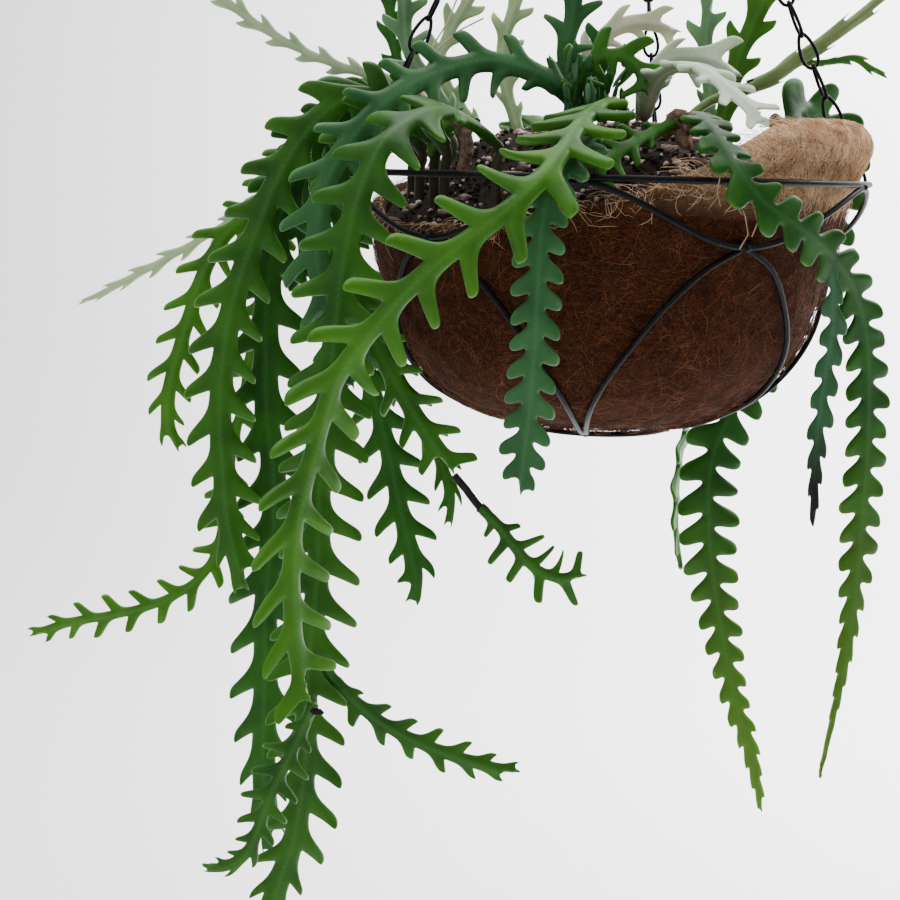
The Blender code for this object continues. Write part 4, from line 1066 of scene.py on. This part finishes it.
stem("low_front_shoot", None, [
    (-17.7, -21.3, -30.6), (-18.3, -21, -32.2), (-19.2, -34.2), (-20.1, -36.2), (-20.8, -38.2),
    (-21.6, -40.2), (-23, -41.2), (-24.9, -41)],
    mid_green, node="none", half=1.7, notch=0.36, pitch=1.6, bare=0.8, fade=5, lean=0.2, shape=TOOTH)
cut_scar = scatter("cut_scar", [(Vector((-17.45, -21.85, -30.9)), (0.42, 0.14, 0.2), 0.15)], dead_flesh,
                   smooth=True, fine=True, seed=22)
stem("stem_left_wide_fork", (-2.6, -4.6), [
    (-4.6, -6, 6.2), (-7.9, -7.2, 7), (-10.8, -8.4, 6.4), (-13.8, -10.6, 4.8), (-16.3, -12.2, 2.2),
    (-17.9, -13, -0.6), (-18.4, -13.4, -3.2), (-18.3, -13.6, -6), (-17.4, -13.7, -8.4),
    (-16.5, -11), (-15.9, -14)],
    blue_green, face=[(0, FRONT), (4, (0, -1, 0.4)), (7, FRONT)], slot="stem_blue", half=2.3,
    notch=0.7, pitch=2.6, core=0.7, bare=3.5, fade=2, lean=0.2)
stem("stem_left_inner", (-10.9, -7.6), [
    (-13.2, -8.8, 4.2), (-15.6, -10, 3.4), (-17.2, -10.8, 0), (-17, -11.2, -4.6), (-15.7, -9),
    (-14, -12.4), (-12.4, -15), (-11.4, -16.5), (-10.3, -18.1), (-9.3, -19.6)],
    mid_green, half=1.95, notch=0.56, pitch=2.3, core=0.6, fade=0.5, lean=0.2)
stem("inner_end", None, [
    (-8.1, -11.2, -20.9), (-6.8, -22.2), (-5.7, -23.6), (-4.4, -24.9), (-2.9, -25.5), (-0.9, -25.3)],
    mid_green, node="stem_left_inner", half=1.95, notch=0.36, pitch=1.55, core=0.6, bare=0.4, fade=1)
dead = rods("inner_dead_length", [([
    (-9.8, -11.2, -18.9), (-9.0, -11.2, -19.8), (-8.4, -11.2, -20.6), (-7.7, -11.2, -21.4)], False)],
    0.26, dead_flesh)
stem("stem_left_upper", (-11.6, -5.4), [
    (-14.2, -6.4, 4), (-16.6, -7.2, 4.6), (-18.3, -7.8, 3.8), (-20.2, -8.4, 1.6), (-21.6, -8.8, -1),
    (-22.6, -9, -3.6), (-23.6, -6.4), (-24.4, -9.2), (-24.9, -12.4), (-25.1, -16), (-24.9, -19.4),
    (-24.6, -22.8), (-23.8, -26), (-22.8, -28.6)],
    mid_green, half=2.35, notch=0.74, pitch=2.8, core=0.7, lean=0.2, shape=TOOTH)
stem("stem_left_long", (-12.6, -3.2), [
    (-15, -4, 4.2), (-17.4, -4.7, 4), (-19.6, -5.4, 1.8), (-21, -6, -1.2), (-21.9, -6.2, -4.6),
    (-22.4, -8), (-22.5, -12), (-22.4, -16.4), (-22, -19.6), (-21.9, -23), (-22.2, -26.2),
    (-22.5, -30), (-22.5, -34), (-22.6, -38), (-22.6, -42), (-22.3, -45.4), (-21.7, -48.8)],
    deep_green, slot="stem_deep", half=2.6, notch=0.84, pitch=3.4, core=0.7, fade=4, lean=0.2,
    shape=TOOTH)
stem("stem_left_hidden", (-13.2, -0.6), [
    (-15.8, -0.8, 4.2), (-18.4, -1.2, 3.4), (-20.6, -2.2, 0), (-20.2, -3.4, -4.6), (-18.4, -4, -9),
    (-16.4, -12.4), (-15.2, -15.6), (-14.4, -18.6), (-13.8, -21.2), (-13.2, -23.9), (-12.6, -26.2),
    (-12.4, -28.2), (-13.4, -30.5)],
    deep_green, slot="stem_deep", half=2.2, notch=0.6, pitch=2.6, core=0.6, lean=0.18, shape=TOOTH)
stem("stem_left_outer", (-13.2, 1.6), [
    (-16, 1.2, 4.4), (-19.2, 0.2, 3.4), (-21.8, -1, 0.4), (-23.8, -2, -2.6), (-25.8, -2.8, -4.6),
    (-27.2, -3.2, -7.2), (-28.1, -3.4, -10), (-28.9, -12.6), (-29.5, -15), (-29.6, -17.6),
    (-28.7, -20)], fresh_green, half=1.8, notch=0.48, pitch=2.4, lean=0.25)
stem("stem_left_out", (-12.8, 4.2), [
    (-15.8, 4.2, 3.8), (-18.8, 3.6, 2.6), (-21.2, 2.8, -0.6), (-23, 1.8, -5.4), (-24.2, 1.2, -10.6),
    (-25, 0.8, -15.9), (-25.8, 0.4, -20.2), (-26.3, 0, -24.2), (-26.8, -0.4, -27.2),
    (-28, -1, -29.2), (-30, -1.6, -30.5), (-32.2, -2, -31.3), (-34.6, -31.9), (-37.4, -32.5),
    (-40.6, -33.8)], fresh_green, half=1.6, notch=0.34, pitch=2.2, bare=5.0)
stem("stem_left_short", (-12.0, 6.6), [
    (-14.6, 7.4, 3.2), (-17.2, 7.9, 2), (-18.8, 7.3, -1.6), (-17.8, 6.2, -6), (-15.9, 5.2, -10.6),
    (-14, 4.4, -14.8), (-12, 3.8, -18.8), (-10.6, 3.4, -21.4), (-10, 3, -23.9), (-10.7, 2.8, -26.6)],
    mid_green, half=1.4, notch=0.4, pitch=2.5, bare=4.0, lean=0.3, shape=TOOTH)

# Stems of the right side, with the small-lobed one that hangs in front and its thin grey shoot.
stem("stem_right_front", (4.6, -6.0), [
    (4.5, -10.5, 3.9), (4.7, -15, 2.9), (5.4, -18.8, 0.8), (6.9, -19.8, -1.1), (8.9, -19, -2.3),
    (11.2, -17.2, -3.7), (13.6, -15, -6.1), (15.1, -13.4, -9.4), (15.9, -12.2, -13.4),
    (16.3, -11.4, -17.1), (16.5, -10.8, -20.6), (16.6, -10.4, -24), (16.6, -10, -28.2),
    (16.3, -32.3), (15.8, -36.4), (15.2, -40.4)],
    turning_green, face=[(0, BACK), (2, BACK), (4, UP), (6, (0, -1, 0.3)), (8, (0.2, -1, 0))],
    slot="stem_blue", half=1.45, notch=0.42, pitch=2.0, bare=5.0, fade=9, shape=ROUND_LOBE, thin=1.8)
stem("thin_shoot", None, [
    (11.7, -16.7, -3.9), (12.3, -15.9, -6), (12.7, -15, -8.8), (12.7, -14.2, -11.4),
    (12.6, -13.8, -14.6), (12.6, -13.6, -18), (12.8, -21.6)],
    dark_shoot, face=[(0, (-0.7, -1, 0))], node="stem_right_front", slot="stem_grey", half=0.85,
    notch=0.26, pitch=2.0, core=0.45, bare=0.6, fade=4, shape=ROUND_LOBE)
stem("stem_right_back", (12.4, 5.2), [
    (15, 8, 5.2), (17.8, 10.6, 4.6), (19.4, 12, 0.6), (18.4, 12.4, -5), (15.6, 12.2, -11.4),
    (12.6, 11.2, -16.8), (10.9, 10.5, -20.4), (10.4, 10, -23.7), (10.6, -26.4), (10.9, -29.2),
    (11.4, -31.8), (12, -34.8), (12.8, -38.2), (13.8, -42), (15, -45.2), (16, -48.9), (16.9, -52.6)],
    turning_green, slot="stem_deep", half=2.5, notch=0.5, pitch=2.5, core=0.6, bare=3.5, fade=11,
    shape=ROUND_LOBE)
stem("stem_right_back_edge", (7.4, 11.2), [
    (9.4, 15, 4.6), (11, 18.6, 2.4), (11.8, 20.6, -2.4), (11.5, 20.4, -9), (10.8, 19.2, -15),
    (9.8, 18.2, -20.2), (9.2, 17.4, -23.7), (9.1, 17, -27), (9.3, -29.8), (10, -33.4)],
    deep_green, face=[(0, (1, 0, 0)), (6, (1, -0.3, 0))], slot="stem_deep", half=2.0, notch=0.5,
    pitch=2.8, bare=4.0, shape=ROUND_LOBE)
stem("stem_back", (-3.6, 12.6), [
    (-4, 15.4, 4.4), (-4.9, 19, 3.4), (-6, 20.8, -0.6), (-6.6, 21, -5.4), (-7, 20.6, -11),
    (-7.2, 20.4, -17)],
    mid_green, face=[(0, FRONT), (2, FRONT), (3, UP), (5, BACK)], half=2.2, notch=0.6, pitch=3.0,
    core=0.6, bare=4.0, shape=ROUND_LOBE)

# Upright and arching stems above the rim: grey-green and pale where the light falls on them, one of
# them dry.
stem("stem_top_far_left", (-10.6, 0.6), [
    (-13.2, 0.4, 5.6), (-16.8, 0.2, 6.6), (-20.4, 7.8), (-23.9, 9.6), (-26.8, 11.7), (-29.6, 14)],
    pale_green, slot="stem_pale", half=0.8, notch=0.27, pitch=2.2, core=0.4, bare=7.5, fade=2,
    shape=TOOTH)
stem("stem_left_thin", (-10.8, 8.2), [
    (-14.2, 8.8, 4.8), (-18.2, 9.4, 3.4), (-22.6, 9.2, -0.2), (-26.4, 8.6, -3.4), (-30.4, 7.6, -6),
    (-34.6, 6.6, -8.4), (-38.6, 6, -10.6)],
    pale_green, slot="stem_pale", half=0.7, notch=0.26, pitch=2.6, core=0.4, bare=9.0, shape=TOOTH)
stem("stem_top_dark", (-8.6, 10.4), [
    (-12, 11, 5.4), (-14.6, 8), (-15.4, 10.8), (-15.3, 13.4), (-15.2, 16.2)],
    deep_green, slot="stem_deep", half=1.1, notch=0.35, pitch=2.1, core=0.4, bare=3.5, fade=2,
    shape=TOOTH)
stem("stem_top_left", (-10.0, 3.6), [
    (-12, 4, 6), (-13.6, 4.2, 8.2), (-14.1, 10.4), (-14, 12.8), (-13.2, 15.6)],
    grey_green, slot="stem_grey", half=1.7, notch=0.5, pitch=2.6, fade=2)
stem("stem_top_pale_a", (-8.0, 7.6), [
    (-10.4, 7.8, 5.4), (-11.6, 8), (-10.8, 10.4), (-9.4, 12.8), (-8.2, 15.8)],
    pale_green, slot="stem_pale", half=1.3, notch=0.4, pitch=2.3, core=0.4, fade=2, shape=TOOTH)
stem("stem_top_pale_b", (-5.4, 9.6), [
    (-6.6, 9.8, 6.4), (-7, 9), (-6.4, 11.6), (-5.5, 14.2), (-4.5, 17)],
    pale_green, slot="stem_pale", half=1.5, notch=0.45, pitch=2.5, core=0.4, fade=2)
stem("stem_top_centre", (-1.8, 2.6), [
    (-2.4, 2.6, 6.6), (-2.8, 8.6), (-2.4, 10.6), (-2.2, 12.8), (-1.2, 15.6)],
    blue_green, slot="stem_blue", half=2.0, notch=0.6, pitch=2.6, bare=2.6, fade=2)
stem("stem_top_small", (-0.4, -1.4), [
    (-0.9, -2.6, 6), (-0.9, -3.6, 7.8), (-0.2, -4.4, 9.8)],
    blue_green, slot="stem_blue", half=1.8, notch=0.5, pitch=2.3, bare=2.6, fade=1)
stem("stem_top_grey", (2.4, 0.6), [
    (2.6, 0.6, 6.2), (4, 0.5, 8), (6, 0.2, 8.3), (8, -0.6, 7.7), (9.8, -1.6, 6.2)],
    silver_green, slot="stem_grey", half=2.0, notch=0.6, pitch=3.0, fade=1)
stem("stem_top_bright", (8.4, 3.6), [
    (9, 3.4, 6.2), (9.3, 3.2, 8.2), (10, 3, 10.2), (10.8, 2.8, 12.2), (11.8, 2.4, 14.6)],
    fresh_green, slot="stem_fresh", half=1.7, notch=0.6, pitch=2.8, fade=2, shape=TOOTH)
stem("stem_top_right", (6.0, 6.0), [
    (8, 6.3, 5.6), (10.6, 6.6, 6.6), (12.8, 6.8, 7.6), (14.3, 7, 8.7), (15.9, 9.8), (18, 11.4),
    (20.6, 13.6), (23, 16)],
    smooth_stalk, half=0.66, notch=0.5, pitch=4.2, core=1.0, fade=2, shape=TOOTH)
stem("right_shoot", None, [
    (14.2, 7, 8.6), (15.4, 8.6), (16.8, 8.7), (18.4, 9), (19.9, 8.3), (21.6, 7.3)],
    mid_green, node="stem_top_right", half=0.5, notch=0.22, pitch=2.0, bare=0.4, fade=2, shape=TOOTH)
stem("stem_top_arch", (2.2, -4.4), [
    (2.2, -7.4, 6), (3, -10.2, 6.8), (4, -13.6, 6.4), (5.2, -17.4, 5), (7, -20.4, 3)],
    silver_green, face=[(0, FRONT), (2, (0, 0.2, 1)), (4, UP), (7, (0.3, -1, 1))], slot="stem_grey",
    half=1.6, notch=0.6, pitch=2.6, fade=1)
stem("stem_top_dry", (-0.6, 8.6), [
    (-0.8, 8.8, 7.6), (0.2, 10), (2.2, 11.2), (4.6, 8.6, 11.2), (6.8, 8.2, 10.4)],
    dry_beige, slot="stem_dry", half=1.4, notch=0.6, pitch=2.6, core=0.4, fade=1)
stem("stem_top_back", (8.6, 8.8), [
    (8.6, 9.4, 6.4), (8.2, 9.6, 9.2), (8.2, 11.8), (8.8, 14.6)],
    grey_green, slot="stem_grey", half=1.6, notch=0.5, pitch=2.4, core=0.4, bare=4.0, fade=2,
    shape=TOOTH)

# Shoots near the middle: one that grows from the old stub, jagged crowded tips, and a low leaf at the
# left. They are small and stand among the larger stems.
stem("stub_shoot", None, [
    (3.2, -11.2, 3.5), (2, -12, 2.9), (0.6, -13.2, 2.2), (-0.8, -14.4, 1.4), (-1.8, -15.2, 0.4),
    (-2.2, -15.8, -0.8)],
    mid_green, face=[(0, (0, -1, 0.4))], node="none", half=1.5, notch=0.4, pitch=1.7, bare=0.6,
    fade=1)
stem("crowded_tips", None, [
    (-2, -5, 3.4), (-2.6, -6.2, 5.2), (-2.2, -7, 6.8), (-1, -7.4, 7.6), (0.4, -7.6, 7.4),
    (1.4, -7.8, 6.4), (1.8, -8.2, 5)],
    mid_green, node="none", half=1.9, notch=0.4, pitch=1.5, bare=0.8, fade=1, shape=TOOTH)
stem("low_leaf", None, [
    (-11.9, -5.6, 1.2), (-11, -6.2, 2.8), (-9.6, -6.8, 3.6), (-8.2, -7.2, 3.2)],
    fresh_green, face=[(0, (0, -1, 0.6))], node="none", half=1.3, notch=0.5, pitch=2.0, bare=0.6,
    fade=1)

# Crowded young growth: a tuft of short pointed shoots in the middle, blue-green and grey-green, and
# thin dry straws at the left.
SHOOTS = 34
BLUE_SHOOTS = 20
dice = random.Random(31)
shoots = []
for _ in range(SHOOTS):
    spot = Vector((dice.uniform(-3.4, 0.6), dice.uniform(-8.0, -5.0), dice.uniform(3.6, 7.8)))
    shoots.append((spot, (dice.uniform(0.18, 0.3), 0.13, dice.uniform(0.6, 1.15)), 0.06))
tuft = scatter("young_shoots", shoots[:BLUE_SHOOTS], blue_green, smooth=True, fine=True, seed=32)
tuft = scatter("young_pale_shoots", shoots[BLUE_SHOOTS:], grey_green, smooth=True, fine=True, seed=33)
straw = fibre("straw", (0.42, 0.36, 0.22), (0.74, 0.68, 0.50))
straws = rods("dry_straws", [
    ([(-12.8, 0.6, 6.6), (-11.6, 0.4, 8.4), (-10.2, 0.2, 9.6), (-8.6, 0.0, 10.4)], False),
    ([(-12.4, 0.8, 6.4), (-12.0, 0.8, 8.6), (-11.0, 0.8, 10.2), (-10.4, 0.8, 11.8)], False),
    ([(-12.9, 1.0, 6.8), (-11.2, 1.0, 7.6), (-9.4, 1.0, 8.0), (-8.0, 1.0, 7.6)], False)], 0.06, straw)

# Areoles: a small tan felt cushion sits in every notch between two lobes, where a flower would grow.
# Each is a small ball sunk half into the stem's edge.
areole_felt = earth("areole_felt", (0.20, 0.13, 0.06), (0.42, 0.30, 0.16), 500.0)
areoles = scatter("areoles", areole_spots, areole_felt, smooth=True, seed=9)

# Studio: a pale sweep behind and below the hanging plant, a broad soft light from above, a weaker
# one from the front, one that brightens the sweep at the right, and a camera that stands 1 m in
# front at the rim's height and looks down a little.
CAMERA_PLACE = (-0.101, -1.0, -0.405)
CAMERA_DOWN = 11.0
CAMERA_ROLL = 1.5
CAMERA_LENS = 56.8
FLOOR_HEIGHT = -1.35
WALL_BACK = 2.6
SWEEP = 0.9

sweep_points = []
profile = [(-4.0, FLOOR_HEIGHT)]
for k in range(13):
    turn = math.radians(7.5 * k)
    back = WALL_BACK - SWEEP + SWEEP * math.sin(turn)
    profile.append((back, FLOOR_HEIGHT + SWEEP - SWEEP * math.cos(turn)))
profile.append((WALL_BACK, 3.0))
for x in (-5.0, 5.0):
    sweep_points += [(x, y, z) for y, z in profile]
faces = [(k, k + 1, len(profile) + k + 1, len(profile) + k) for k in range(len(profile) - 1)]
mesh = bpy.data.meshes.new("backdrop")
mesh.from_pydata(sweep_points, [], faces)
mesh.shade_smooth()
paper, shader, _ = new_finish("backdrop_paper")
feed(paper, shader, {"Base Color": (0.93, 0.93, 0.935, 1), "Roughness": 0.9})
mesh.materials.append(paper)
placed("backdrop", mesh)

world = bpy.data.worlds.new("room_light")
world.use_nodes = True
feed(world, world.node_tree.nodes["Background"], {"Color": (0.96, 0.98, 0.97, 1), "Strength": 0.51})
bpy.context.scene.world = world


def soft_light(name, place, aim, size, power, colour):
    light = bpy.data.lights.new(name, "AREA")
    light.shape = "SQUARE"
    light.size = size
    light.energy = power
    light.color = colour
    made = placed(name, light)
    made.location = place
    made.rotation_euler = (Vector(aim) - Vector(place)).to_track_quat("-Z", "Y").to_euler()


soft_light("sky_light", (-0.3, 0.2, 1.5), (0, 0, -0.5), 1.6, 50.0, (1.0, 0.99, 0.97))
soft_light("front_light", (-1.2, -1.8, 0.2), (-0.05, 0, -0.6), 1.4, 7.0, (1.0, 1.0, 1.0))
soft_light("wall_light", (1.3, 0.8, 0.7), (1.1, 2.6, -1.0), 1.6, 250.0, (1.0, 1.0, 1.0))

camera = placed("camera", bpy.data.cameras.new("camera"))
camera.data.lens = CAMERA_LENS
camera.location = CAMERA_PLACE
tilt = Matrix.Rotation(math.radians(90 - CAMERA_DOWN), 3, "X")
camera.rotation_euler = (tilt @ Matrix.Rotation(math.radians(CAMERA_ROLL), 3, "Z")).to_euler()
bpy.context.scene.camera = camera
